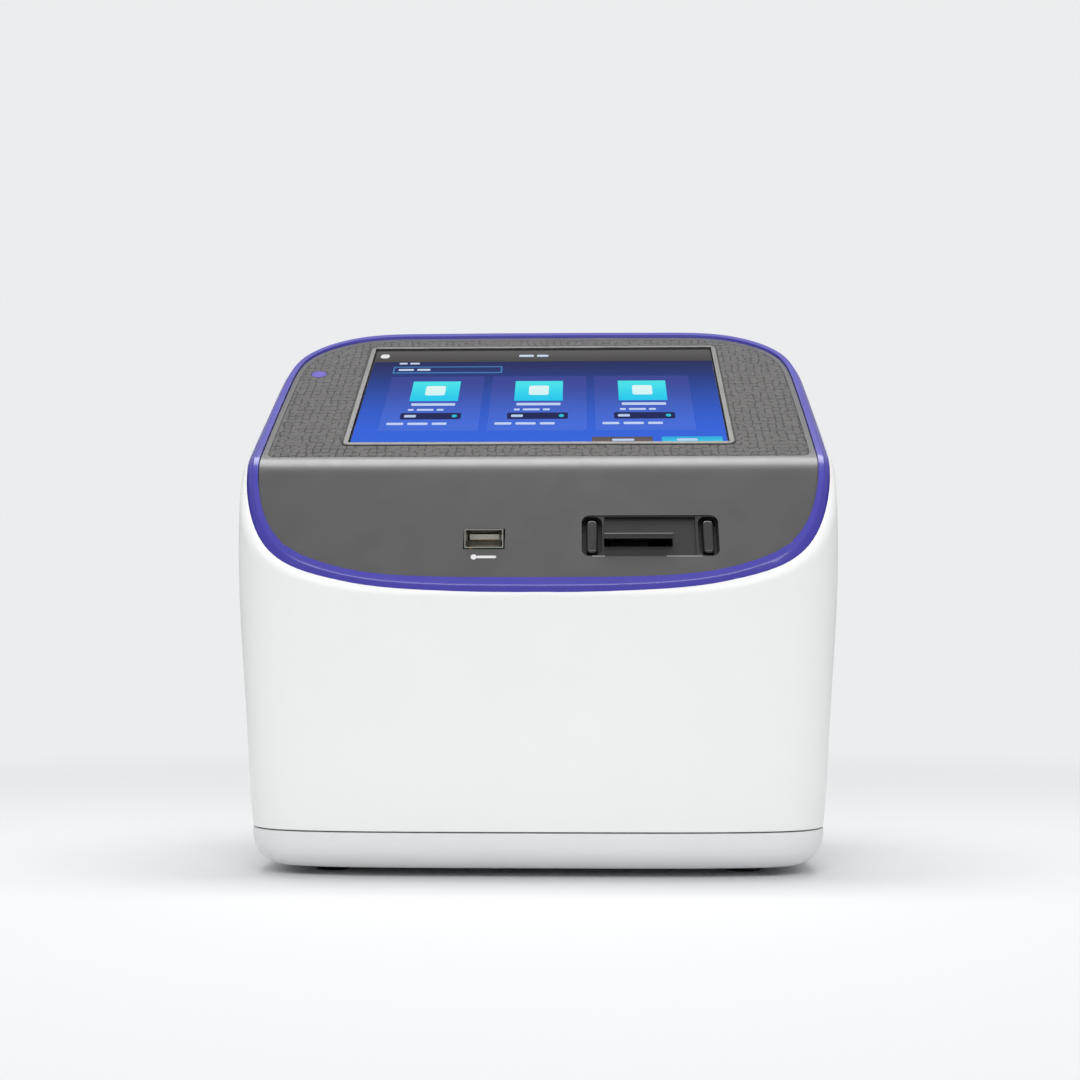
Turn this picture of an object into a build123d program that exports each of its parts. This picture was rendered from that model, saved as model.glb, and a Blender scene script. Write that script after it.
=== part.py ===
from build123d import *
from math import cos, hypot, pi, radians, sin, tan
import os

# Automated cell counter: a bench instrument with a barrel-shaped housing, cut at the top by a
# slope that bends over a ridge. The front faces -Y, +X is to the right seen from the front and
# the origin is the middle of the footprint on the bench. Sizes are in millimetres.

# ---------------------------------------------------------------- overall size
width = 229.0
depth = 140.0
height = 229.0

# ---------------------------------------------------------------- plan outline
# Two half superellipses that meet at the widest line, drawn as four quarter curves.
widest_line_y = -25.5
front_roundness = 4.3
back_roundness = 5.6
quarter_samples = 8

# ---------------------------------------------------------------- housing walls
foot_height = 3.0
pan_height = 14.4
shadow_gap = 0.6
belly_z = 122.0
wall = 3.0
base_side_inset = 7.0
base_end_inset = 3.2
belly_softness = 20.0
barrel_steps = 3
neck_side_inset = 3.2
neck_end_inset = 1.8
shoulder_radius = 4.5

# ---------------------------------------------------------------- bent slope
upper_tilt = 34.0
lower_tilt = 61.3
ridge_y = -41.4
bend_radius = 18.0

# ---------------------------------------------------------------- trim ring
ring_side_inset = 2.5
ring_end_inset = 1.5
ring_width = 4.4
ring_rise = 1.0
ring_depth = 5.0
ring_flank_drop = 2.6
ring_flank_run = 2.0

# ---------------------------------------------------------------- control panel
panel_thickness = 3.0
panel_gap = 0.2
ledge_width = 4.0
ledge_thickness = 3.0
relief = 0.5

# ---------------------------------------------------------------- inlay and display
inlay_margin = 2.6
inlay_low_v = 5.2
inlay_corner = 3.5
inlay_thickness = 0.8
display_width = 150.6
display_length = 97.4
display_low_v = 17.6
frame_border = 1.8
frame_height = 3.0
glass_thickness = 1.6
glass_sink = 0.25
lcd_thickness = 5.0
lcd_side_border = 5.0
lcd_end_border = 2.0
bracket_thickness = 1.2
bracket_lip = 6.0

# ---------------------------------------------------------------- status light
light_u = -97.0
light_v = 86.5
light_diameter = 6.5
light_flange = 9.0
light_flange_thickness = 1.2
light_board_size = 9.0
board_thickness = 1.6

# ---------------------------------------------------------------- USB-A port
usb_front_x = -19.2
usb_front_z = 123.9
usb_width = 13.2
usb_height = 5.8
usb_sheet = 0.4
usb_depth = 14.0
usb_flare = 0.6
usb_flare_length = 1.2
usb_tongue_width = 11.0
usb_tongue_thickness = 1.9
usb_tongue_length = 8.8
usb_contact_width = 1.0
usb_contact_pitch = 2.3
usb_contact_thickness = 0.25
usb_window_margin = 0.5
usb_board_length = 24.0
usb_shelf_width = 3.0
usb_shelf_thickness = 2.0

# ---------------------------------------------------------------- slide port
slide_width = 25.0
slide_thickness = 1.8
slide_length = 75.0
slot_clearance = 0.4
slot_play = 0.9
slot_x = 38.0
slot_z = 122.2
port_centre_u = 42.4
port_centre_v = -33.9
port_width = 50.4
port_height = 17.8
port_corner = 3.0
port_depth = 8.0
port_sink = 0.3
port_plate_sink = 1.7
port_flange = 1.5
port_flange_thickness = 1.5
grip_width = 5.4
grip_height = 14.4
grip_gap = 1.3
grip_pocket_depth = 5.0
grip_radius = 1.6
lip_height = 2.2
lip_reach = 2.8
jaw_reach = 0.9

# ---------------------------------------------------------------- back recess and connectors
recess_width = 92.0
recess_height = 30.0
recess_corner = 5.0
recess_z = 48.0
recess_floor_y = 61.0
recess_floor = 2.5
recess_rim = 3.0
jack_x = -30.0
jack_bore = 6.4
jack_barrel = 9.6
jack_flange = 12.0
jack_flange_thickness = 1.5
jack_well = 9.5
jack_pin = 2.05
jack_pin_length = 8.5
switch_x = 26.0
switch_width = 20.0
switch_height = 14.0
switch_flange = 1.4
switch_flange_thickness = 1.2
switch_body_depth = 14.0
switch_wall = 1.3
rocker_gap = 0.3
rocker_axle_radius = 1.5
rocker_axle_clearance = 0.05
rocker_tilt = 8.0
rocker_rise = 0.8
rocker_axle_depth = 3.0
usb_back_x = -4.0

# ---------------------------------------------------------------- fasteners and feet
boss_x = 86.0
boss_y = 46.0
boss_diameter = 9.0
boss_height = 16.0
boss_rib = 2.4
screw_diameter = 4.0
screw_clearance = 0.05
screw_head_diameter = 7.0
screw_head_height = 2.4
screw_length = 18.0
pan_post_diameter = 11.0
screw_seat_z = 9.0
foot_diameter = 14.0
foot_seat = 1.0
foot_x = 78.0
foot_y = 34.0
foot_chamfer = 0.8
pan_bottom_radius = 12.0
rim_height = 3.0
rim_thickness = 1.6
rim_gap = 0.3
vent_count = 9
vent_width = 2.4
vent_length = 40.0
vent_pitch = 6.0
vent_x = -40.0

# ---------------------------------------------------------------- chassis and main board
chassis_thickness = 1.5
chassis_z = 22.0
chassis_width = 186.0
chassis_depth = 96.0
chassis_post_x = 62.0
chassis_post_y = 34.0
chassis_post_diameter = 8.0
main_board_x = -51.0
main_board_width = 84.0
main_board_depth = 80.0
standoff_height = 8.0
standoff_diameter = 5.0
standoff_inset = 5.0
sink_size = 34.0
sink_base = 2.5
sink_height = 14.0
sink_fins = 8
sink_fin_thickness = 1.2
chip_thickness = 1.4
chip_size = 22.0

# ---------------------------------------------------------------- slide stage
stage_sheet = 3.0
stage_width = 70.0
stage_front_y = -36.0
stage_back_y = 45.0
stage_foot = 7.0
stage_hole = 24.0
optic_y = -4.0
carriage_travel = 10.0
carriage_width = 40.0
carriage_front_y = -40.0
carriage_back_wall = 4.0
carriage_floor = 1.6
carriage_wall_height = 3.0
carriage_lift = 0.4
slide_proud = 15.0
tongue_width = 2.0
tongue_height = 1.6
rail_width = 5.0
rail_height = 8.0
rail_gap = 0.3
window_width = 15.0
window_length = 24.0

# ---------------------------------------------------------------- lamp
arm_width = 16.0
arm_depth = 9.0
arm_rise = 34.0
arm_thickness = 8.0
lamp_diameter = 24.0
lamp_length = 14.0
lamp_bore = 18.0
lens_thickness = 3.0
lamp_board_thickness = 1.6

# ---------------------------------------------------------------- focus drive
rod_diameter = 6.0
rod_spread = 18.0
rod_play = 0.04
rod_foot_height = 7.0
rod_foot_depth = 14.0
focus_block_z = 72.0
focus_block_height = 12.0
focus_block_width = 50.0
focus_block_front = 14.0
focus_block_back = 34.0
objective_diameter = 16.0
objective_length = 22.0
objective_tip = 9.0
objective_cone = 6.0
camera_tube_diameter = 20.0
camera_tube_length = 15.0
camera_board_size = 24.0
motor_size = 28.0
motor_height = 26.0
motor_corner = 3.0
motor_boss = 12.0
motor_boss_height = 1.5
screw_offset = 24.0
lead_screw_diameter = 5.0
lead_screw_length = 54.0
lead_screw_play = 0.05
nut_diameter = 11.0
nut_flange = 16.0
nut_flange_thickness = 2.0
nut_height = 8.0

# ---------------------------------------------------------------- worked-out places
parting_z = foot_height + pan_height
barrel_top_z = height + foot_height
belly_half = width / 2
ring_half = belly_half - ring_side_inset
ring_back_y = depth / 2 - ring_end_inset
upper = radians(upper_tilt)
lower = radians(lower_tilt)
crest_back_y = ring_back_y - ring_flank_run * cos(upper)
ridge_z = height - ring_rise / cos(upper) - (crest_back_y - ridge_y) * tan(upper)
far = 2 * max(width, depth, height)
upper_plane = Plane((0, ridge_y, ridge_z), x_dir=(1, 0, 0), z_dir=(0, -sin(upper), cos(upper)))
lower_plane = Plane((0, ridge_y, ridge_z), x_dir=(1, 0, 0), z_dir=(0, -sin(lower), cos(lower)))
slot_width = slide_width + slot_clearance
slot_height = slide_thickness + slot_play
light_board_drop = panel_thickness + light_flange_thickness
display_middle_v = display_low_v + display_length / 2

chassis_top_z = chassis_z + chassis_thickness
stage_top_z = slot_z - slide_thickness / 2 - slot_play / 2 - carriage_floor - carriage_lift

usb_back_mouth_y = recess_floor_y + usb_sheet
back_board_y = usb_back_mouth_y - usb_depth
switch_axle_y = recess_floor_y - rocker_axle_depth
board_z = chassis_top_z + standoff_height
tongue_z = stage_top_z + carriage_lift + carriage_floor


# ================================================================ shared forms
def plan_wire(z, side_inset, end_inset, inset=0.0):
    """Closed outline of the plan at one height, drawn in by the insets."""
    half_x = belly_half - side_inset
    quarters = []
    for side, end in [(1, -1), (1, 1), (-1, 1), (-1, -1)]:
        roundness = front_roundness if end < 0 else back_roundness
        reach_y = depth / 2 - end_inset + end * -widest_line_y
        points = []
        for index in range(quarter_samples):
            turn = pi / 2 * index / (quarter_samples - 1)
            grow = (cos(turn) ** roundness + sin(turn) ** roundness) ** (-1 / roundness)
            x = max(cos(turn), 0) * grow
            y = sin(turn) * grow
            slope = Vector(x ** (roundness - 1) / half_x, y ** (roundness - 1) / reach_y).normalized()
            out_x = half_x * x - slope.X * inset
            out_y = reach_y * y - slope.Y * inset
            points.append((side * out_x, widest_line_y + end * out_y, z))
        quarters.append(Edge.make_spline(points, tangents=[(0, end, 0), (-side, 0, 0)]))
    return Wire(quarters)


def plan_face(z, side_inset, end_inset, inset=0.0):
    """Flat face bounded by the plan outline."""
    return Face(plan_wire(z, side_inset, end_inset, inset))


def ring_prism(inset):
    """Upright block as tall as the object, inside the ring's outer outline by the inset."""
    return extrude(plan_face(0, ring_side_inset, ring_end_inset, inset), far, dir=(0, 0, 1))


def below_slope(offset):
    """Everything under the bent slope, with the slope moved out by the offset."""
    shift = offset / cos((lower - upper) / 2)
    middle = (upper + lower) / 2
    top = (ridge_y - shift * sin(middle), ridge_z + shift * cos(middle))
    low = (top[0] - far * cos(lower) / 2, top[1] - far * sin(lower) / 2)
    high = (top[0] + far * cos(upper) / 2, top[1] + far * sin(upper) / 2)
    slope = FilletPolyline(low, top, high, radius=bend_radius + offset)
    sides = Polyline(high, (high[0], -far), (low[0], -far), low)
    profile = make_face(Curve() + [slope, sides])
    return extrude(Plane.YZ * profile, far / 2, both=True)


def slab(top_offset, bottom_offset):
    """The layer between two moved copies of the bent slope."""
    return below_slope(top_offset) - below_slope(bottom_offset)


def box_between(low, high):
    """Box with two opposite corners."""
    size = [high[i] - low[i] for i in range(3)]
    middle = [(high[i] + low[i]) / 2 for i in range(3)]
    return Pos(*middle) * Box(*size)


def column(x, y, low_z, high_z, diameter):
    """Upright cylinder."""
    return Pos(x, y, (low_z + high_z) / 2) * Cylinder(diameter / 2, high_z - low_z)


def rod_along_y(x, z, low_y, high_y, diameter):
    """Cylinder along Y."""
    return Pos(x, (low_y + high_y) / 2, z) * Rot(90, 0, 0) * Cylinder(diameter / 2, high_y - low_y)


def slope_y(z):
    """Where the lower slope's surface is at one height."""
    return ridge_y - (ridge_z - z) / tan(lower)


def four(x, y):
    """Four places mirrored about the middle."""
    return [(sx * x, sy * y) for sx in (-1, 1) for sy in (-1, 1)]


usb_front_mouth_y = slope_y(usb_front_z - usb_height / 2 - usb_flare)


# ================================================================ housing
def barrel_share(z):
    """How far the barrel has drawn in at one height: 0 at the belly, 1 at its lower and upper ends."""
    reach = belly_z - parting_z if z < belly_z else barrel_top_z - belly_z
    drop = abs(z - belly_z)
    return (hypot(drop, belly_softness) - belly_softness) / (hypot(reach, belly_softness) - belly_softness)


def body_loft(inset, low_z):
    """Barrel-shaped body, drawn in by the inset."""
    heights = [low_z + (belly_z - low_z) * step / barrel_steps for step in range(barrel_steps)]
    rise = (barrel_top_z - belly_z) / barrel_steps
    heights = heights + [belly_z + rise * step for step in range(barrel_steps + 1)]
    sections = []
    for z in heights:
        side_end = base_side_inset if z < belly_z else neck_side_inset
        end_end = base_end_inset if z < belly_z else neck_end_inset
        share = barrel_share(z)
        sections.append(plan_face(z, side_end * share, end_end * share, inset))
    return loft(sections)


def back_recess():
    """Pocket in the back wall that the connectors sit in."""
    profile = RectangleRounded(recess_width, recess_height, recess_corner)
    plane = Plane((0, recess_floor_y, recess_z), x_dir=(-1, 0, 0), z_dir=(0, 1, 0))
    return extrude(plane * profile, depth / 2)


def base_half_width(y):
    """Half the width of the parting line's outline at one Y."""
    half_x = belly_half - base_side_inset
    roundness = front_roundness if y < widest_line_y else back_roundness
    end = -1 if y < widest_line_y else 1
    reach_y = depth / 2 - base_end_inset - end * widest_line_y
    return half_x * (1 - abs((y - widest_line_y) / reach_y) ** roundness) ** (1 / roundness)


def recess_block():
    """Material round and behind the back recess."""
    half_x = recess_width / 2 + recess_rim
    half_z = recess_height / 2 + recess_rim
    low = (-half_x, recess_floor_y - recess_floor, recess_z - half_z)
    high = (half_x, depth / 2 - wall / 2, recess_z + half_z)
    return box_between(low, high)


def jack_hole(diameter):
    """Cutter through the recess floor at the power inlet."""
    low_y = recess_floor_y - 2 * recess_floor
    return rod_along_y(jack_x, recess_z, low_y, recess_floor_y + recess_floor, diameter)


def switch_block(width_x, height_z, low_y, high_y):
    """Upright block on the power switch's middle."""
    low = (switch_x - width_x / 2, low_y, recess_z - height_z / 2)
    high = (switch_x + width_x / 2, high_y, recess_z + height_z / 2)
    return box_between(low, high)


def usb_block(x, z, width_x, height_z, low_y, high_y):
    """Block on the middle of a USB port that faces along Y."""
    low = (x - width_x / 2, low_y, z - height_z / 2)
    high = (x + width_x / 2, high_y, z + height_z / 2)
    return box_between(low, high)


def switch_hole():
    """Cutter for the power switch's body."""
    play = 2 * panel_gap
    low_y = recess_floor_y - wall
    return switch_block(switch_width + play, switch_height + play, low_y, recess_floor_y + wall)


def usb_back_hole():
    """Cutter for the USB port at the back."""
    play = 2 * usb_window_margin
    low = recess_floor_y - wall
    return usb_block(usb_back_x, recess_z, usb_width + play, usb_height + play, low, recess_floor_y + wall)


def main_housing():
    """White shell: barrel, shoulder, ring seat, panel ledge, screw bosses and back recess."""
    outer = body_loft(0.0, parting_z) & below_slope(0.0)
    outer = fillet(shoulder_edges(outer), shoulder_radius)
    cavity = body_loft(wall, parting_z) & below_slope(-panel_thickness - ledge_thickness)
    above = 4 * ring_rise
    cavity = cavity + (ring_prism(0.0) & slab(above, -ring_depth) - ring_prism(ring_width))
    cavity = cavity + (ring_prism(ring_width) & slab(above, -panel_thickness))
    opening = ring_prism(ring_width + ledge_width) & slab(above, -panel_thickness - ledge_thickness)
    cavity = cavity + opening
    cavity = cavity - recess_block()
    shell = outer - cavity
    inside = []
    cutters = [back_recess(), jack_hole(jack_barrel + 2 * panel_gap), switch_hole(), usb_back_hole()]
    cutters.append(port_block(port_flange + relief, 0.0, -2 * port_depth))
    cutters.append(display_cut(0.0, lcd_side_border + relief, 4 * lcd_thickness, lcd_end_border + relief))
    for x, y in four(boss_x, boss_y):
        inside.append(column(x, y, parting_z, parting_z + boss_height, boss_diameter))
        side = 1 if x > 0 else -1
        wall_x = side * (base_half_width(y) - wall / 2)
        rib_low = (min(x, wall_x), y - boss_rib / 2, parting_z + rim_height + rim_gap)
        rib_high = (max(x, wall_x), y + boss_rib / 2, parting_z + boss_height)
        inside.append(box_between(rib_low, rib_high))
        cutters.append(column(x, y, parting_z - 1, parting_z + boss_height - wall, screw_diameter))
    return shell + inside - cutters


def shoulder_edges(body):
    """Edges where the barrel's side meets the bent slope."""
    side_faces = [face for face in body.faces() if face.geom_type == GeomType.BSPLINE]
    other_faces = [face for face in body.faces() if face.geom_type != GeomType.BSPLINE]
    top_faces = [face for face in other_faces if face.center().Z > belly_z / 2]
    top = [edge for face in top_faces for edge in face.edges()]
    side = [edge for face in side_faces for edge in face.edges()]
    return ShapeList([edge for edge in top if any(edge.is_same(other) for other in side)])


# ================================================================ base pan and feet
def base_pan():
    """Shallow tray with a big rounded bottom, screw posts, chassis posts, rim and vents."""
    low = foot_height
    top = parting_z - shadow_gap
    pan = extrude(plan_face(low, base_side_inset, base_end_inset), top - low, dir=(0, 0, 1))
    pan = fillet(pan.faces().sort_by(Axis.Z)[0].edges(), pan_bottom_radius)
    hollow = extrude(plan_face(low + wall, base_side_inset, base_end_inset, wall), top, dir=(0, 0, 1))
    hollow = fillet(hollow.faces().sort_by(Axis.Z)[0].edges(), pan_bottom_radius - wall)
    pan = pan - hollow
    rim_outer = wall + rim_gap
    rim = extrude(
        plan_face(low + pan_height / 2, base_side_inset, base_end_inset, wall - rim_thickness / 2),
        top - low - pan_height / 2,
        dir=(0, 0, 1),
    )
    tall_rim = extrude(
        plan_face(low + pan_height / 2, base_side_inset, base_end_inset, rim_outer),
        top + rim_height - low - pan_height / 2,
        dir=(0, 0, 1),
    )
    rim_hole = extrude(
        plan_face(low, base_side_inset, base_end_inset, rim_outer + rim_thickness), far / 2, dir=(0, 0, 1)
    )
    pan = pan + ((rim + tall_rim) - rim_hole)
    cutters = []
    for x, y in four(boss_x, boss_y):
        pan = pan + column(x, y, low + wall / 2, parting_z, pan_post_diameter)
        cutters.append(column(x, y, low - 1, screw_seat_z, screw_head_diameter + 2 * rim_gap))
        cutters.append(column(x, y, low - 1, far / 2, screw_diameter + 2 * rim_gap))
    for x, y in four(chassis_post_x, chassis_post_y):
        pan = pan + column(x, y, low + wall / 2, chassis_z, chassis_post_diameter)
    for x, y in four(foot_x, foot_y):
        cutters.append(column(x, y, low - 1, low + foot_seat, foot_diameter))
    for index in range(vent_count):
        x = vent_x + (index - (vent_count - 1) / 2) * vent_pitch
        slot = SlotOverall(vent_length, vent_width, rotation=90)
        cutters.append(Pos(x, 0, low + wall / 2) * extrude(slot, wall, both=True))
    return pan - cutters


def foot(x, y):
    """Rubber foot seated in the pan."""
    body = column(x, y, 0, foot_height + foot_seat, foot_diameter)
    return chamfer(body.edges().sort_by(Axis.Z)[0], foot_chamfer)


def base_screws():
    """Four screws from below into the housing's bosses."""
    screws = []
    for x, y in four(boss_x, boss_y):
        head_low = screw_seat_z - screw_head_height
        head = column(x, y, head_low, screw_seat_z, screw_head_diameter)
        shank_diameter = screw_diameter - 2 * screw_clearance
        shank = column(x, y, screw_seat_z, screw_seat_z + screw_length, shank_diameter)
        socket = column(x, y, head_low - 1, head_low + screw_head_height / 2, screw_diameter / 2)
        screws.append(head + shank - socket)
    return screws


# ================================================================ trim ring
def trim_ring():
    """Coloured ring: flat top face, crest and sloping outer flank, following the bent slope."""
    blank = ring_prism(0.0) & below_slope(ring_rise)
    blank = chamfer(slope_rim(blank), ring_flank_drop, ring_flank_run)
    return blank - below_slope(-ring_depth) - ring_prism(ring_width)


def slope_rim(body):
    """Edges where an upright side meets the bent slope on top."""
    sides = [face for face in body.faces() if face.geom_type == GeomType.EXTRUSION]
    side_edges = [edge for face in sides for edge in face.edges()]
    others = [face for face in body.faces() if face.geom_type != GeomType.EXTRUSION]
    tops = [face for face in others if face.center().Z > belly_z / 2]
    top_edges = [edge for face in tops for edge in face.edges()]
    return ShapeList([edge for edge in top_edges if any(edge.is_same(o) for o in side_edges)])


# ================================================================ control panel and what it holds
def display_cut(top, border, thickness, end_border=None):
    """Block over the display's area, hung from a height over the upper slope."""
    size_u = display_width + 2 * border
    size_v = display_length + 2 * (border if end_border is None else end_border)
    return upper_plane * Pos(0, display_middle_v, top - thickness / 2) * Box(size_u, size_v, thickness)


def port_block(grow, top, bottom):
    """Rounded block of the slide port's outline on the lower slope."""
    profile = RectangleRounded(port_width + 2 * grow, port_height + 2 * grow, port_corner + grow)
    start = lower_plane * Pos(port_centre_u, port_centre_v, bottom)
    return start * extrude(profile, top - bottom)


def usb_front_window():
    """Cutter through the panel at the front USB port."""
    play = 2 * (usb_flare + usb_window_margin)
    back_y = slope_y(usb_front_z) + 4 * panel_thickness
    return usb_block(usb_front_x, usb_front_z, usb_width + play, usb_height + play, -depth, back_y)


def light_column(diameter, top, bottom):
    """Cylinder on the status light's axis."""
    middle = (top + bottom) / 2
    return upper_plane * Pos(light_u, light_v, middle) * Cylinder(diameter / 2, top - bottom)


def inlay_field(gap, top, bottom):
    """The inlay's outline, as a layer between two depths under the slope."""
    margin = ring_width + inlay_margin - gap
    field = ring_prism(margin) & below_slope(top)
    upper_half = Pos(0, inlay_low_v - gap + far / 2, (top + bottom) / 2) * Box(2 * far, far, top - bottom)
    field = field & (upper_plane * upper_half)
    corners = [edge for edge in field.edges() if is_low_corner(edge, inlay_low_v - gap)]
    return fillet(corners, inlay_corner)


def is_low_corner(edge, low_v):
    """True for the short edges at the inlay's two lower corners."""
    middle = upper_plane.to_local_coords(edge.position_at(0.5))
    is_low = abs(middle.Y - low_v) < 0.5
    is_outer = abs(middle.X) > ring_half / 2
    return is_low and is_outer and edge.length < 2 * panel_thickness


def usb_board_shelf(side):
    """Small shelf on the panel's back that the front USB port's board lies on."""
    middle_x = usb_front_x + side * (usb_width - usb_shelf_width)
    top_z = usb_front_z - usb_height / 2 - board_thickness
    low_z = top_z - usb_shelf_thickness
    low = (middle_x - usb_shelf_width / 2, slope_y(low_z) + panel_thickness, low_z)
    return box_between(low, (middle_x + usb_shelf_width / 2, usb_front_mouth_y + usb_board_length, top_z))


def control_panel():
    """Dark panel bent over the ridge, with its windows, the inlay's seat and two board shelves."""
    panel = ring_prism(ring_width + panel_gap) & slab(0.0, -panel_thickness)
    panel = panel + [usb_board_shelf(side) for side in (-1, 1)]
    cutters = [inlay_field(panel_gap, panel_thickness, -inlay_thickness)]
    cutters.append(display_cut(panel_thickness, frame_border + panel_gap, 4 * panel_thickness))
    cutters.append(port_block(panel_gap, panel_thickness, -2 * panel_thickness))
    cutters.append(usb_front_window())
    cutters.append(light_column(light_diameter + 2 * panel_gap, panel_thickness, -2 * panel_thickness))
    return panel - cutters


def texture_inlay():
    """Thin textured sheet in the panel's seat, open round the display and the light."""
    sheet = inlay_field(0.0, 0.0, -inlay_thickness)
    sheet = sheet - display_cut(panel_thickness, frame_border + panel_gap, 4 * panel_thickness)
    return sheet - light_column(light_diameter + 2 * panel_gap, panel_thickness, -2 * panel_thickness)


def display_frame():
    """Thin metal frame round the display glass."""
    outer = display_cut(panel_gap, frame_border, frame_height + panel_gap)
    return outer - display_cut(panel_thickness, 0.0, 4 * panel_thickness)


def display_glass():
    """Touch glass inside the frame."""
    return display_cut(-glass_sink, 0.0, glass_thickness)


def lcd_module():
    """Display module under the glass: the lit sheet stands in the frame, the tray under the panel."""
    sheet_top = -glass_sink - glass_thickness
    sheet = display_cut(sheet_top, -panel_gap, panel_thickness + sheet_top)
    return sheet + display_cut(-panel_thickness, lcd_side_border, lcd_thickness, lcd_end_border)


def display_bracket():
    """Folded steel plate behind the display module, with two walls up to the panel."""
    back = -panel_thickness - lcd_thickness
    plate = display_cut(back, lcd_side_border + bracket_lip, bracket_thickness, lcd_end_border)
    walls = []
    for side in (-1, 1):
        reach = side * (display_width / 2 + lcd_side_border + bracket_lip - bracket_thickness / 2)
        spot = upper_plane * Pos(reach, display_middle_v, -panel_thickness - lcd_thickness / 2)
        walls.append(spot * Box(bracket_thickness, display_length / 2, lcd_thickness))
    holes = []
    for index in (-1, 0, 1):
        spot = upper_plane * Pos(index * display_width / 3, display_middle_v, back)
        holes.append(spot * Cylinder(display_length / 6, 4 * bracket_thickness))
    return plate + walls - holes


def status_light_pipe():
    """Clear button-shaped light guide with a flange under the panel."""
    stem = light_column(light_diameter, 0.0, -panel_thickness)
    return stem + light_column(light_flange, -panel_thickness, -light_board_drop)


def status_light_board():
    """Small board with the lamp under the light guide."""
    middle = -light_board_drop - board_thickness / 2
    size = light_board_size
    return upper_plane * Pos(light_u, light_v, middle) * Box(size, size, board_thickness)


# ================================================================ USB-A ports
def usb_shell(x, z, mouth_y, side):
    """Folded steel shell with a flared mouth; side is -1 for a port that faces the front."""
    back_y = mouth_y - side * usb_depth
    tube = usb_block(x, z, usb_width, usb_height, min(mouth_y, back_y), max(mouth_y, back_y))
    flare_plane = Plane((x, mouth_y, z), x_dir=(1, 0, 0), z_dir=(0, side, 0))
    wide = flare_plane * Rectangle(usb_width + 2 * usb_flare, usb_height + 2 * usb_flare)
    narrow = flare_plane * Pos(0, 0, -usb_flare_length) * Rectangle(usb_width, usb_height)
    flare = loft([wide.faces()[0], narrow.faces()[0]])
    spread = 2 * (usb_flare - usb_sheet)
    wide_hole = flare_plane * Rectangle(usb_width + spread, usb_height + spread)
    narrow_hole = flare_plane * Pos(0, 0, -usb_flare_length) * Rectangle(
        usb_width - 2 * usb_sheet, usb_height - 2 * usb_sheet
    )
    mouth = loft([wide_hole.faces()[0], narrow_hole.faces()[0]])
    low_y = min(mouth_y, back_y + side * usb_sheet)
    high_y = max(mouth_y, back_y + side * usb_sheet)
    hollow = usb_block(x, z, usb_width - 2 * usb_sheet, usb_height - 2 * usb_sheet, low_y, high_y)
    return tube + flare - mouth - hollow


def usb_tongue(x, z, mouth_y, side):
    """Plastic block at the shell's back with the tongue that carries the contacts."""
    back_y = mouth_y - side * (usb_depth - usb_sheet)
    tip_y = back_y + side * (usb_tongue_length + usb_sheet)
    root_y = back_y + side * 2 * usb_sheet
    tongue_z = z + usb_tongue_thickness / 2
    low_y = min(back_y, tip_y)
    high_y = max(back_y, tip_y)
    tongue = usb_block(x, tongue_z, usb_tongue_width, usb_tongue_thickness, low_y, high_y)
    root_width = usb_width - 2 * usb_sheet
    root_height = usb_height - 2 * usb_sheet
    return tongue + usb_block(x, z, root_width, root_height, min(back_y, root_y), max(back_y, root_y))


def usb_contacts(x, z, mouth_y, side):
    """Four gilt strips under the tongue."""
    back_y = mouth_y - side * (usb_depth - 3 * usb_sheet)
    tip_y = back_y + side * (usb_tongue_length - 4 * usb_sheet)
    strips = []
    for index in range(4):
        strip_x = x + (index - 1.5) * usb_contact_pitch
        strip_z = z - usb_contact_thickness / 2
        low_y = min(back_y, tip_y)
        high_y = max(back_y, tip_y)
        strips.append(usb_block(strip_x, strip_z, usb_contact_width, usb_contact_thickness, low_y, high_y))
    return strips


def usb_front_board():
    """Board that carries the front USB port."""
    low_y = usb_front_mouth_y + usb_depth / 3
    top_z = usb_front_z - usb_height / 2
    low = (usb_front_x - usb_width, low_y, top_z - board_thickness)
    high = (usb_front_x + usb_width, low_y + usb_board_length, top_z)
    return box_between(low, high)


usb_places = {
    "front": (usb_front_x, usb_front_z, usb_front_mouth_y, -1),
    "back": (usb_back_x, recess_z, usb_back_mouth_y, 1),
}


# ================================================================ slide port
def grip_place(side):
    """Middle of one grip across the port."""
    return side * (port_width / 2 - grip_gap / 2 - grip_width / 2 - port_sink)


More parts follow.
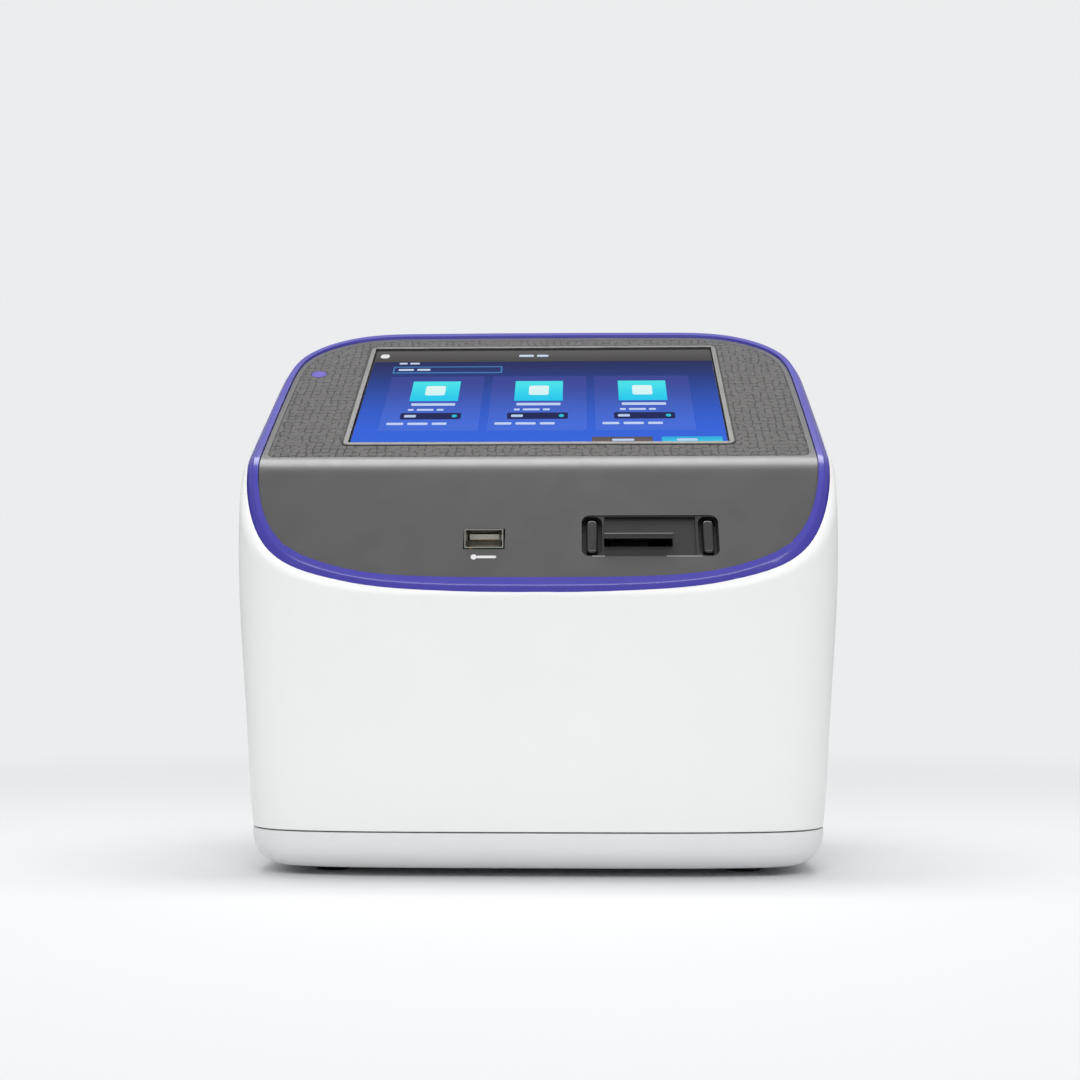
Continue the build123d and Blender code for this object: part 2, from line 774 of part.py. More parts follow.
def slide_port_bezel():
    """Black moulding in the lower slope: plate, two upright grips in pockets, slot, lip and jaw."""
    centre = lower_plane * Pos(port_centre_u, port_centre_v, 0)
    block = port_block(0.0, -port_sink, -port_depth)
    block = block + port_block(port_flange, -panel_thickness, -panel_thickness - port_flange_thickness)
    pocket_width = grip_width + 2 * grip_gap
    pocket_height = port_height - 2 * port_sink
    plate_width = port_width - 2 * (pocket_width + port_sink)
    plate_field = Box(plate_width, pocket_height, port_plate_sink)
    block = block - centre * Pos(0, 0, -port_plate_sink / 2) * plate_field
    grips = []
    for side in (-1, 1):
        spot = centre * Pos(grip_place(side), 0, 0)
        pocket = RectangleRounded(pocket_width - 2 * port_sink, pocket_height, port_corner - port_sink)
        block = block - spot * Pos(0, 0, -grip_pocket_depth) * extrude(pocket, grip_pocket_depth)
        bar = RectangleRounded(grip_width - grip_gap, grip_height, grip_radius)
        bar = extrude(bar, grip_pocket_depth - port_sink)
        bar = fillet(bar.faces().sort_by(Axis.Z)[-1].edges(), grip_radius * 0.6)
        grips.append(spot * Pos(0, 0, -grip_pocket_depth) * bar)
    left_x = slot_x - slot_width / 2
    right_x = slot_x + slot_width / 2
    slot_top = slot_z + slot_height / 2
    wall_y = slope_y(slot_z)
    lip = box_between(
        (left_x, wall_y - lip_reach, slot_top),
        (right_x, wall_y + port_depth, slot_top + lip_height),
    )
    lip = fillet(lip.edges().filter_by(Axis.X).sort_by(Axis.Y)[:2], lip_height / 4)
    jaw_top = slot_z - slot_height / 2
    slot = box_between((left_x, -depth, jaw_top), (right_x, wall_y + 2 * port_depth, slot_top))
    jaw = box_between((left_x, -depth, port_low_z()), (right_x, 0, jaw_top))
    jaw = jaw & port_block(0.0, -port_plate_sink + jaw_reach, -port_depth)
    return block + grips + lip + jaw - slot


def port_low_z():
    """Height of the slide port's lower edge."""
    return ridge_z + (port_centre_v - port_height / 2) * sin(lower)


# ================================================================ power inlet and switch
def jack_body():
    """Barrel jack from the recess floor inwards, with a flange outside."""
    body = rod_along_y(jack_x, recess_z, back_board_y, recess_floor_y, jack_barrel)
    flange_top = recess_floor_y + jack_flange_thickness
    flange = rod_along_y(jack_x, recess_z, recess_floor_y, flange_top, jack_flange)
    well_y = recess_floor_y + jack_flange_thickness - jack_well
    return body + flange - rod_along_y(jack_x, recess_z, well_y, recess_floor_y + wall, jack_bore)


def back_board():
    """Upright board that the power inlet and the USB port at the back stand on."""
    half_z = recess_height / 2 - recess_rim
    low = (jack_x - jack_barrel, back_board_y - board_thickness, recess_z - half_z)
    return box_between(low, (usb_back_x + usb_width, back_board_y, recess_z + half_z))


def jack_centre_pin():
    """Centre pin of the power inlet."""
    low_y = recess_floor_y + jack_flange_thickness - jack_well
    pin = rod_along_y(jack_x, recess_z, low_y, low_y + jack_pin_length, jack_pin)
    return fillet(pin.edges().sort_by(Axis.Y)[-1], jack_pin / 4)


def switch_frame():
    """Frame of the power switch: flange outside the recess floor and a box behind it."""
    flange_top = recess_floor_y + switch_flange_thickness
    flange_width = switch_width + 2 * switch_flange
    flange_height = switch_height + 2 * switch_flange
    frame = switch_block(flange_width, flange_height, recess_floor_y, flange_top)
    body_back = recess_floor_y - switch_body_depth
    frame = frame + switch_block(switch_width, switch_height, body_back, recess_floor_y)
    inner_width = switch_width - 2 * switch_wall
    inner_height = switch_height - 2 * switch_wall
    well_y = body_back + switch_wall
    frame = frame - switch_block(inner_width, inner_height, well_y, flange_top + 1)
    hole = Rot(0, 90, 0) * Cylinder(rocker_axle_radius, switch_width + 2)
    return frame - Pos(switch_x, switch_axle_y, recess_z) * hole


def power_rocker():
    """Rocker on its axle, tilted to off."""
    inner_width = switch_width - 2 * switch_wall - 2 * rocker_gap
    tilt = radians(rocker_tilt)
    rise = recess_floor_y + switch_flange_thickness - switch_axle_y
    tip = rise + rocker_rise
    reach = (switch_height / 2 - switch_wall - rocker_gap - tip * sin(tilt)) / cos(tilt)
    profile = Polyline(
        (-reach / 2, 0), (0, -reach), (tip, -reach), (rise, 0), (tip, reach), (0, reach), close=True
    )
    cap = extrude(Plane.YZ * make_face(profile), inner_width / 2, both=True)
    axle = Rot(0, 90, 0) * Cylinder(rocker_axle_radius - rocker_axle_clearance, switch_width)
    return Pos(switch_x, switch_axle_y, recess_z) * Rot(rocker_tilt, 0, 0) * (cap + axle)


# ================================================================ chassis and main board
def chassis_plate():
    """Steel plate on the pan's posts, notched round the screw bosses."""
    low = (-chassis_width / 2, -chassis_depth / 2, chassis_z)
    high = (chassis_width / 2, chassis_depth / 2, chassis_top_z)
    cutters = []
    for x, y in four(boss_x, boss_y):
        reach = boss_diameter
        cutters.append(box_between((x - reach, y - reach, 0), (x + reach, y + reach, far)))
    return box_between(low, high) - cutters


def board_places():
    """The four standoffs' places."""
    half_x = main_board_width / 2 - standoff_inset
    half_y = main_board_depth / 2 - standoff_inset
    return [(main_board_x + x, y) for x, y in four(half_x, half_y)]


def main_board():
    """Main circuit board."""
    low = (main_board_x - main_board_width / 2, -main_board_depth / 2, board_z)
    high = (main_board_x + main_board_width / 2, main_board_depth / 2, board_z + board_thickness)
    return box_between(low, high)


def board_standoffs():
    """Four pillars under the main board."""
    return [column(x, y, chassis_top_z, board_z, standoff_diameter) for x, y in board_places()]


def processor():
    """Processor on the main board."""
    low_z = board_z + board_thickness
    half = chip_size / 2
    high_z = low_z + chip_thickness
    return box_between((main_board_x - half, -half, low_z), (main_board_x + half, half, high_z))


def heat_sink():
    """Finned aluminium block on the processor."""
    low_z = board_z + board_thickness + chip_thickness
    half = sink_size / 2
    high_z = low_z + sink_height
    block = box_between((main_board_x - half, -half, low_z), (main_board_x + half, half, high_z))
    pitch = (sink_size - sink_fin_thickness) / (sink_fins - 1)
    gaps = []
    for index in range(sink_fins - 1):
        gap_x = main_board_x - half + sink_fin_thickness + index * pitch
        gap_low = (gap_x, -sink_size, low_z + sink_base)
        gap_high = (gap_x + pitch - sink_fin_thickness, sink_size, high_z + sink_base)
        gaps.append(box_between(gap_low, gap_high))
    return block - gaps


# ================================================================ slide stage
def stage_bracket():
    """Folded sheet bridge over the focus drive, with a hole under the slide."""
    half = stage_width / 2
    top = box_between(
        (slot_x - half, stage_front_y, stage_top_z - stage_sheet),
        (slot_x + half, stage_back_y, stage_top_z),
    )
    pieces = []
    for side in (-1, 1):
        inner = slot_x + side * (half - stage_sheet)
        outer = slot_x + side * half
        toe = slot_x + side * (half + stage_foot)
        leg_low = (min(inner, outer), stage_front_y, chassis_top_z)
        pieces.append(box_between(leg_low, (max(inner, outer), stage_back_y, stage_top_z)))
        foot_low = (min(outer, toe), stage_front_y, chassis_top_z)
        pieces.append(box_between(foot_low, (max(outer, toe), stage_back_y, chassis_top_z + stage_sheet)))
    hole = column(slot_x, optic_y, stage_top_z - 2 * stage_sheet, stage_top_z + 1, stage_hole)
    leg_windows = Pos(slot_x, (stage_front_y + stage_back_y) / 2, (chassis_top_z + stage_top_z) / 2) * Box(
        2 * stage_width, (stage_back_y - stage_front_y) / 2, (stage_top_z - chassis_top_z) / 2
    )
    leg_windows = fillet(leg_windows.edges().filter_by(Axis.X), stage_foot / 2)
    rods = [column(x, optic_y, chassis_top_z, far, rod_diameter + 2 * rod_play) for x in rod_places()]
    return top + pieces - hole - leg_windows - rods


def slide_rail(side):
    """Grooved guide along one side of the carriage."""
    inner = carriage_width / 2 + rail_gap
    outer = inner + rail_width
    low = (slot_x + min(side * inner, side * outer), stage_front_y, stage_top_z)
    high = (slot_x + max(side * inner, side * outer), stage_back_y, stage_top_z + rail_height)
    groove_reach = inner + tongue_width
    groove_low = (slot_x - groove_reach, -depth, tongue_z - tongue_height / 2 - rail_gap)
    groove_high = (slot_x + groove_reach, depth, tongue_z + tongue_height / 2 + rail_gap)
    return box_between(low, high) - box_between(groove_low, groove_high)


def slide_carriage():
    """Tray that takes the slide, with a tongue along each side and a window under the sample."""
    half = carriage_width / 2
    low_z = stage_top_z + carriage_lift
    floor_z = low_z + carriage_floor
    back_stop_y = slope_y(slot_z) - slide_proud + slide_length
    back_y = back_stop_y + carriage_back_wall
    tray = box_between(
        (slot_x - half, carriage_front_y, low_z), (slot_x + half, back_y, floor_z + carriage_wall_height)
    )
    pocket_half = slot_width / 2
    pocket = box_between((slot_x - pocket_half, -depth, floor_z), (slot_x + pocket_half, back_stop_y, far))
    tongue = box_between(
        (slot_x - half - tongue_width, carriage_front_y, tongue_z - tongue_height / 2),
        (slot_x + half + tongue_width, back_y, tongue_z + tongue_height / 2),
    )
    window_face = SlotOverall(window_length, window_width, rotation=90)
    window_spot = Pos(slot_x, optic_y - carriage_travel, low_z)
    window = window_spot * extrude(window_face, 2 * carriage_floor, both=True)
    return tray + tongue - pocket - window


def rod_places():
    """Where the two focus rods stand."""
    return [slot_x - rod_spread, slot_x + rod_spread]


# ================================================================ lamp over the slide
def lamp_arm():
    """Bent arm behind the carriage that reaches forward over the slide."""
    foot_y = stage_back_y - arm_depth
    post = box_between(
        (slot_x - arm_width / 2, foot_y, stage_top_z),
        (slot_x + arm_width / 2, stage_back_y, stage_top_z + arm_rise),
    )
    reach = box_between(
        (slot_x - arm_width / 2, optic_y, stage_top_z + arm_rise - arm_thickness),
        (slot_x + arm_width / 2, foot_y, stage_top_z + arm_rise),
    )
    arm_top = stage_top_z + arm_rise
    eye = column(slot_x, optic_y, arm_top - arm_thickness, arm_top, lamp_diameter + 2 * wall)
    return post + reach + eye - column(slot_x, optic_y, 0, far, lamp_diameter + 2 * rod_play)


def lamp_barrel():
    """Tube that holds the lamp board at the top and the condenser lens at the bottom."""
    high_z = stage_top_z + arm_rise + lamp_board_thickness
    tube = column(slot_x, optic_y, high_z - lamp_length, high_z, lamp_diameter)
    collar_diameter = lamp_diameter + 2 * lamp_board_thickness
    collar = column(slot_x, optic_y, stage_top_z + arm_rise, high_z, collar_diameter)
    bore = column(slot_x, optic_y, high_z - lamp_length - 1, high_z + 1, lamp_bore)
    return tube + collar - bore


def condenser_lens():
    """Plano-convex lens in the lamp barrel's lower end."""
    low_z = stage_top_z + arm_rise + lamp_board_thickness - lamp_length
    disc = column(slot_x, optic_y, low_z, low_z + lens_thickness, lamp_bore)
    dome_radius = lamp_bore
    dome = Pos(slot_x, optic_y, low_z + lens_thickness * 1.5 - dome_radius) * Sphere(dome_radius)
    return disc & dome


def lamp_board():
    """Round board that closes the lamp barrel."""
    high_z = stage_top_z + arm_rise + lamp_board_thickness
    return column(slot_x, optic_y, high_z, high_z + lamp_board_thickness, lamp_diameter)


# ================================================================ focus drive
def focus_rods():
    """Two ground rods from the rod foot into the stage."""
    return [column(x, optic_y, chassis_top_z, stage_top_z, rod_diameter) for x in rod_places()]


def rod_foot():
    """Block that holds the rods' lower ends."""
    reach = rod_spread + rod_diameter
    low = (slot_x - reach, optic_y - rod_foot_depth / 2, chassis_top_z)
    high = (slot_x + reach, optic_y + rod_foot_depth / 2, chassis_top_z + rod_foot_height)
    holes = [column(x, optic_y, 0, far, rod_diameter + 2 * rod_play) for x in rod_places()]
    return box_between(low, high) - holes


def focus_carriage():
    """Block that rides on the rods and holds the objective, the camera tube and the nut."""
    half = focus_block_width / 2
    low = (slot_x - half, optic_y - focus_block_front, focus_block_z)
    high = (slot_x + half, optic_y + focus_block_back, focus_block_z + focus_block_height)
    block = box_between(low, high)
    block = fillet(block.edges().filter_by(Axis.Z), focus_block_height / 4)
    cutters = [column(x, optic_y, 0, far, rod_diameter + 2 * rod_play) for x in rod_places()]
    cutters.append(column(slot_x, optic_y, 0, far, camera_tube_diameter - 2 * wall))
    cutters.append(column(slot_x, optic_y + screw_offset, 0, far, nut_diameter))
    return block - cutters


def objective():
    """Objective barrel with a coned tip."""
    low_z = focus_block_z + focus_block_height
    cone_z = low_z + objective_length - objective_cone
    barrel = column(slot_x, optic_y, low_z, cone_z, objective_diameter)
    tip = Pos(slot_x, optic_y, cone_z + objective_cone / 2) * Cone(
        objective_diameter / 2, objective_tip / 2, objective_cone
    )
    return barrel + tip - column(slot_x, optic_y, low_z - 1, far, objective_tip - wall)


def camera_tube():
    """Tube between the focus carriage and the camera board."""
    low_z = focus_block_z - camera_tube_length
    tube = column(slot_x, optic_y, low_z, focus_block_z, camera_tube_diameter)
    return tube - column(slot_x, optic_y, low_z - 1, far, camera_tube_diameter - 2 * wall)


def camera_board():
    """Square board under the camera tube."""
    high_z = focus_block_z - camera_tube_length
    half = camera_board_size / 2
    return box_between(
        (slot_x - half, optic_y - half, high_z - board_thickness), (slot_x + half, optic_y + half, high_z)
    )


def focus_motor():
    """Stepper motor standing on the chassis behind the optics."""
    middle_y = optic_y + screw_offset
    half = motor_size / 2
    low = (slot_x - half, middle_y - half, chassis_top_z)
    case = box_between(low, (slot_x + half, middle_y + half, chassis_top_z + motor_height))
    case = chamfer(case.edges().filter_by(Axis.Z), motor_corner)
    top_z = chassis_top_z + motor_height
    case = case + column(slot_x, middle_y, top_z, top_z + motor_boss_height, motor_boss)
    bore = lead_screw_diameter + 2 * lead_screw_play
    return case - column(slot_x, middle_y, top_z - motor_height / 2, far, bore)


def lead_screw():
    """Lead screw from the motor up through the nut."""
    low_z = chassis_top_z + motor_height / 2 + rail_gap
    return column(slot_x, optic_y + screw_offset, low_z, low_z + lead_screw_length, lead_screw_diameter)


def focus_nut():
    """Flanged bronze nut in the focus carriage."""
    middle_y = optic_y + screw_offset
    low_z = focus_block_z - nut_flange_thickness
    nut = column(slot_x, middle_y, low_z, focus_block_z, nut_flange)
    nut_top = focus_block_z + nut_height
    nut = nut + column(slot_x, middle_y, focus_block_z, nut_top, nut_diameter - 2 * rod_play)
    return nut - column(slot_x, middle_y, 0, far, lead_screw_diameter + 2 * lead_screw_play)


# ================================================================ the pieces
nodes = {}
nodes["main_housing"] = main_housing()
nodes["base_pan"] = base_pan()
for end, end_sign in (("back", 1), ("front", -1)):
    for side, side_sign in (("left", -1), ("right", 1)):
        nodes["foot_" + end + "_" + side] = foot(side_sign * foot_x, end_sign * foot_y)
nodes["base_screws"] = base_screws()
nodes["trim_ring"] = trim_ring()
nodes["control_panel"] = control_panel()
nodes["texture_inlay"] = texture_inlay()
nodes["display_frame"] = display_frame()
nodes["display_glass"] = display_glass()
nodes["lcd_module"] = lcd_module()
nodes["display_bracket"] = display_bracket()
nodes["status_light_pipe"] = status_light_pipe()
nodes["status_light_board"] = status_light_board()
for name, place in usb_places.items():
    nodes["usb_" + name + "_shell"] = usb_shell(*place)
    nodes["usb_" + name + "_tongue"] = usb_tongue(*place)
    nodes["usb_" + name + "_contacts"] = usb_contacts(*place)
nodes["usb_front_board"] = usb_front_board()
nodes["slide_port_bezel"] = slide_port_bezel()
nodes["back_board"] = back_board()
nodes["dc_jack_body"] = jack_body()
nodes["dc_jack_pin"] = jack_centre_pin()
nodes["switch_frame"] = switch_frame()
nodes["power_rocker"] = power_rocker()
nodes["chassis_plate"] = chassis_plate()
nodes["board_standoffs"] = board_standoffs()
nodes["main_board"] = main_board()
nodes["processor"] = processor()
nodes["heat_sink"] = heat_sink()
nodes["stage_bracket"] = stage_bracket()
nodes["slide_rail_left"] = slide_rail(-1)
nodes["slide_rail_right"] = slide_rail(1)
nodes["slide_carriage"] = slide_carriage()
nodes["lamp_arm"] = lamp_arm()
nodes["lamp_barrel"] = lamp_barrel()
nodes["condenser_lens"] = condenser_lens()
nodes["lamp_board"] = lamp_board()
nodes["focus_rods"] = focus_rods()
nodes["rod_foot"] = rod_foot()
nodes["focus_carriage"] = focus_carriage()
nodes["objective"] = objective()
nodes["camera_tube"] = camera_tube()
nodes["camera_board"] = camera_board()
nodes["focus_motor"] = focus_motor()
nodes["lead_screw"] = lead_screw()
nodes["focus_nut"] = focus_nut()


# ================================================================ writing the files
os.makedirs("parts", exist_ok=True)
for name, shape in nodes.items():
    solids = shape if isinstance(shape, list) else [shape]
    whole = Compound(children=solids) if len(solids) > 1 else solids[0]
    export_step(whole, "parts/" + name + ".step")
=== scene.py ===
"""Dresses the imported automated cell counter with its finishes, display picture, marks, light and camera.

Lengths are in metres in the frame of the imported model: the front faces -Y, +X is to the right seen from the
front, and the origin is the middle of the footprint on the bench.
"""
import logging
import math
from collections.abc import Sequence
from dataclasses import dataclass
from enum import Enum
from typing import Protocol

import bpy
from mathutils import Euler, Matrix, Vector


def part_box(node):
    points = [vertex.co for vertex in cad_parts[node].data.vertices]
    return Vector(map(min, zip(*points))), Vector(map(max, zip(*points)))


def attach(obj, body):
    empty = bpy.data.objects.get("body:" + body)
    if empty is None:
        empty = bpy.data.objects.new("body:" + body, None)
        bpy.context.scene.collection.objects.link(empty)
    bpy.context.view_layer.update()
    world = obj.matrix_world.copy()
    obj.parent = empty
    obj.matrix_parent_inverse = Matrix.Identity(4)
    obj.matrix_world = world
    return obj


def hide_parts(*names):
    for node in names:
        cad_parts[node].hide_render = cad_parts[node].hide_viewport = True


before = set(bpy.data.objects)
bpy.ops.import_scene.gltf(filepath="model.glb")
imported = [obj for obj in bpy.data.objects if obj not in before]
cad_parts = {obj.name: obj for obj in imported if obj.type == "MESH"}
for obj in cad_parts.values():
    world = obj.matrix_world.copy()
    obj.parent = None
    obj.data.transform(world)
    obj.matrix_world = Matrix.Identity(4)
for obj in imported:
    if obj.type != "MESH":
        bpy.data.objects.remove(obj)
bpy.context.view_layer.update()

MERGE = 0.000002
UPPER_TILT = math.radians(34.0)
LOWER_TILT = math.radians(61.3)
log = logging.getLogger("cell_counter")

Colour = tuple[float, float, float]


def shade(red: int, green: int, blue: int) -> Colour:
    """Linear colour of three display values.

    Args:
        red: red on the display's scale of 0 to 255.
        green: green on the same scale.
        blue: blue on the same scale.

    Returns:
        The colour as shader sockets take it.
    """
    parts = [value / 255 for value in (red, green, blue)]
    linear = [part / 12.92 if part <= 0.04045 else ((part + 0.055) / 1.055) ** 2.4 for part in parts]
    return (linear[0], linear[1], linear[2])


class Body(Enum):
    """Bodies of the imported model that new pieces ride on."""

    INSTRUMENT = "instrument"
    ROCKER = "power_rocker"
    SCREW = "lead_screw"


class NodeSheet:
    """Node tree of one new material, with short calls that add and join its nodes."""

    def __init__(self, name: str) -> None:
        """Starts a material whose surface is one principled shader.

        Args:
            name: the material's name.
        """
        self.material = bpy.data.materials.new(name)
        self.material.use_nodes = True
        self.tree = self.material.node_tree
        self.tree.nodes.clear()
        self.shader = self.add("ShaderNodeBsdfPrincipled")
        output = self.add("ShaderNodeOutputMaterial")
        self.join(self.shader.outputs["BSDF"], output.inputs["Surface"])

    def add(self, kind: str, **options: object) -> bpy.types.Node:
        """Adds a node and sets its options.

        Args:
            kind: the node's class name in bpy.
            options: properties of the node, by name.

        Returns:
            The new node.
        """
        node = self.tree.nodes.new(kind)
        for option, value in options.items():
            setattr(node, option, value)
        return node

    def join(self, source: bpy.types.NodeSocket, target: bpy.types.NodeSocket) -> None:
        """Links one socket to another."""
        self.tree.links.new(source, target)

    def feed(self, target: bpy.types.NodeSocket, value: object) -> None:
        """Links a socket to the target, or sets the target to a constant.

        Args:
            target: the input socket.
            value: an output socket, a number, or a colour of three or four numbers.
        """
        if isinstance(value, bpy.types.NodeSocket):
            self.join(value, target)
        elif isinstance(value, tuple) and len(value) == 3 and target.type == "RGBA":
            target.default_value = (*value, 1.0)
        else:
            target.default_value = value

    def places(
        self, turn: Sequence[float] = (0, 0, 0), stretch: Sequence[float] = (1, 1, 1)
    ) -> bpy.types.NodeSocket:
        """Object coordinates, turned and stretched.

        Args:
            turn: rotation about X, Y and Z in radians.
            stretch: factor along each turned axis.

        Returns:
            The vector socket.
        """
        coordinates = self.add("ShaderNodeTexCoord")
        mapping = self.add("ShaderNodeMapping", vector_type="POINT")
        mapping.inputs["Rotation"].default_value = turn
        mapping.inputs["Scale"].default_value = stretch
        self.join(coordinates.outputs["Object"], mapping.inputs["Vector"])
        return mapping.outputs["Vector"]

    def noise(self, places: bpy.types.NodeSocket, size: float, detail: float = 2.0) -> bpy.types.NodeSocket:
        """Smooth noise.

        Args:
            places: the vector socket that the noise reads.
            size: size of its blotches in metres.
            detail: how many finer layers it has.

        Returns:
            The noise as a value from 0 to 1.
        """
        noise = self.add("ShaderNodeTexNoise")
        noise.inputs["Scale"].default_value = 1 / size
        noise.inputs["Detail"].default_value = detail
        self.join(places, noise.inputs["Vector"])
        return noise.outputs["Fac"]

    def cells(
        self, places: bpy.types.NodeSocket, size: float, feature: str, output: str, disorder: float = 0.85
    ) -> bpy.types.NodeSocket:
        """Voronoi cells.

        Args:
            places: the vector socket that the cells read.
            size: width of a cell in metres.
            feature: the texture's feature, such as F1 or DISTANCE_TO_EDGE.
            output: name of the output socket.
            disorder: 0 for even cells and 1 for the most uneven ones.

        Returns:
            The chosen output.
        """
        texture = self.add("ShaderNodeTexVoronoi", feature=feature, voronoi_dimensions="2D")
        texture.inputs["Scale"].default_value = 1 / size
        texture.inputs["Randomness"].default_value = disorder
        self.join(places, texture.inputs["Vector"])
        return texture.outputs[output]

    def span(
        self, value: bpy.types.NodeSocket, source: Sequence[float], target: Sequence[float]
    ) -> bpy.types.NodeSocket:
        """Moves a value from one range to another, smoothly and clamped.

        Args:
            value: the socket to move.
            source: its two ends.
            target: the two ends that they go to.

        Returns:
            The moved value.
        """
        node = self.add("ShaderNodeMapRange", interpolation_type="SMOOTHSTEP")
        self.join(value, node.inputs["Value"])
        for name, number in zip(("From Min", "From Max", "To Min", "To Max"), (*source, *target)):
            node.inputs[name].default_value = number
        return node.outputs["Result"]

    def sum_of(self, operation: str, first: object, second: object) -> bpy.types.NodeSocket:
        """Result of a two-sided maths operation.

        Args:
            operation: the operation's name in bpy.
            first: a socket or a number.
            second: a socket or a number.

        Returns:
            The result.
        """
        node = self.add("ShaderNodeMath", operation=operation)
        self.feed(node.inputs[0], first)
        self.feed(node.inputs[1], second)
        return node.outputs[0]

    def blend(self, share: bpy.types.NodeSocket, first: object, second: object) -> bpy.types.NodeSocket:
        """Blend of two colours.

        Args:
            share: 0 gives the first colour and 1 the second.
            first: a socket or a colour.
            second: a socket or a colour.

        Returns:
            The blended colour.
        """
        node = self.add("ShaderNodeMix", data_type="RGBA")
        self.join(share, node.inputs["Factor"])
        self.feed(node.inputs[6], first)
        self.feed(node.inputs[7], second)
        return node.outputs[2]

    def relief(self, height: bpy.types.NodeSocket, depth: float) -> None:
        """Gives the surface a relief.

        Args:
            height: value from 0 to 1 that the relief follows.
            depth: its depth in metres.
        """
        bump = self.add("ShaderNodeBump")
        bump.inputs["Strength"].default_value = 1.0
        bump.inputs["Distance"].default_value = depth
        self.join(height, bump.inputs["Height"])
        self.join(bump.outputs["Normal"], self.shader.inputs["Normal"])

    def set(self, **values: object) -> None:
        """Sets the shader's inputs.

        Args:
            values: sockets, numbers or colours by input name, with _ for a space.
        """
        for name, value in values.items():
            self.feed(self.shader.inputs[name.replace("_", " ")], value)


class Finish(Protocol):
    """What every finish offers."""

    name: str

    def material(self) -> bpy.types.Material:
        """Material of the finish."""


@dataclass(frozen=True)
class Moulding:
    """Moulded or painted plastic with a fine grain, faint blotches and a little uneven gloss."""

    name: str
    colour: Colour
    roughness: float = 0.4
    mottle: float = 0.04
    blotch: float = 0.03
    grain: float = 0.0007
    grain_depth: float = 0.000008
    coat: float = 0.0
    coat_roughness: float = 0.1
    specular: float = 0.5

    def material(self) -> bpy.types.Material:
        """Material of this moulding."""
        sheet = NodeSheet(self.name)
        places = sheet.places()
        cloud = sheet.noise(places, self.blotch, 3.0)
        dark = tuple(part * (1 - self.mottle) for part in self.colour)
        light = tuple(min(1.0, part * (1 + self.mottle)) for part in self.colour)
        colour = sheet.blend(sheet.span(cloud, (0.3, 0.7), (0, 1)), dark, light)
        wear = sheet.noise(places, self.blotch / 3, 4.0)
        gloss = sheet.span(wear, (0.3, 0.7), (self.roughness * 0.94, self.roughness * 1.08))
        sheet.set(Base_Color=colour, Roughness=gloss, Specular_IOR_Level=self.specular)
        sheet.set(Coat_Weight=self.coat, Coat_Roughness=self.coat_roughness)
        sheet.relief(sheet.noise(places, self.grain, 2.0), self.grain_depth)
        return sheet.material


@dataclass(frozen=True)
class CellGrain:
    """Grey moulding covered in small even cells, parted by short dark grooves, each cell carrying painted
    shading of its tilt.
    """

    name: str
    colour: Colour
    groove: Colour
    cell: float = 0.0031
    disorder: float = 0.42
    groove_share: float = 0.11
    roughness: float = 0.55
    depth: float = 0.0001

    def material(self) -> bpy.types.Material:
        """Material of this texture, laid flat on the upper slope."""
        sheet = NodeSheet(self.name)
        places = sheet.places(turn=(-UPPER_TILT, 0, 0))
        edge = sheet.cells(places, self.cell, "DISTANCE_TO_EDGE", "Distance", self.disorder)
        groove = sheet.span(edge, (self.groove_share * 0.3, self.groove_share), (1, 0))
        broken = sheet.span(sheet.noise(places, self.cell * 0.7, 1.0), (0.4, 0.52), (0, 1))
        line = sheet.sum_of("MULTIPLY", groove, broken)
        # Each cell's colour is lighter or darker at random: painted shading that stands in for the small
        # facets tilting to and from the light.
        facet_shading = sheet.cells(places, self.cell, "F1", "Color", self.disorder)
        tilt = sheet.add("ShaderNodeSeparateColor")
        sheet.join(facet_shading, tilt.inputs["Color"])
        light = tuple(part * 1.12 for part in self.colour)
        body = sheet.blend(tilt.outputs["Red"], tuple(part * 0.9 for part in self.colour), light)
        speck = sheet.span(sheet.noise(places, self.cell / 8, 2.0), (0.35, 0.65), (0.0, 0.3))
        body = sheet.blend(speck, body, self.groove)
        sheet.set(Base_Color=sheet.blend(line, body, self.groove), Roughness=self.roughness)
        height = sheet.sum_of("SUBTRACT", sheet.span(edge, (0, 0.3), (0, 1)), line)
        sheet.relief(height, self.depth)
        return sheet.material


@dataclass(frozen=True)
class Metal:
    """Metal with fine streaks along one axis, or an even fine grain."""

    name: str
    colour: Colour
    roughness: float = 0.3
    streak: Sequence[float] = (1, 1, 1)
    grain: float = 0.0006
    grain_depth: float = 0.000004
    metallic: float = 1.0

    def material(self) -> bpy.types.Material:
        """Material of this metal."""
        sheet = NodeSheet(self.name)
        streaks = sheet.noise(sheet.places(stretch=self.streak), self.grain, 3.0)
        colour = sheet.blend(streaks, tuple(part * 0.86 for part in self.colour), self.colour)
        gloss = sheet.span(streaks, (0.3, 0.7), (self.roughness * 0.8, self.roughness * 1.25))
        sheet.set(Base_Color=colour, Roughness=gloss, Metallic=self.metallic)
        sheet.relief(streaks, self.grain_depth)
        return sheet.material


@dataclass(frozen=True)
class ClearGlass:
    """Clear glass or clear moulding with a faint film of handling marks."""

    name: str
    tint: Colour = (1.0, 1.0, 1.0)
    roughness: float = 0.01
    smear: float = 0.03
    bending: float = 1.45

    def material(self) -> bpy.types.Material:
        """Material of this glass."""
        sheet = NodeSheet(self.name)
        marks = sheet.noise(sheet.places(), self.smear, 4.0)
        gloss = sheet.span(marks, (0.45, 0.75), (self.roughness, self.roughness * 3))
        tint = sheet.blend(marks, self.tint, tuple(part * 0.98 for part in self.tint))
        sheet.set(Base_Color=tint, Roughness=gloss, Transmission_Weight=1.0, IOR=self.bending)
        return sheet.material


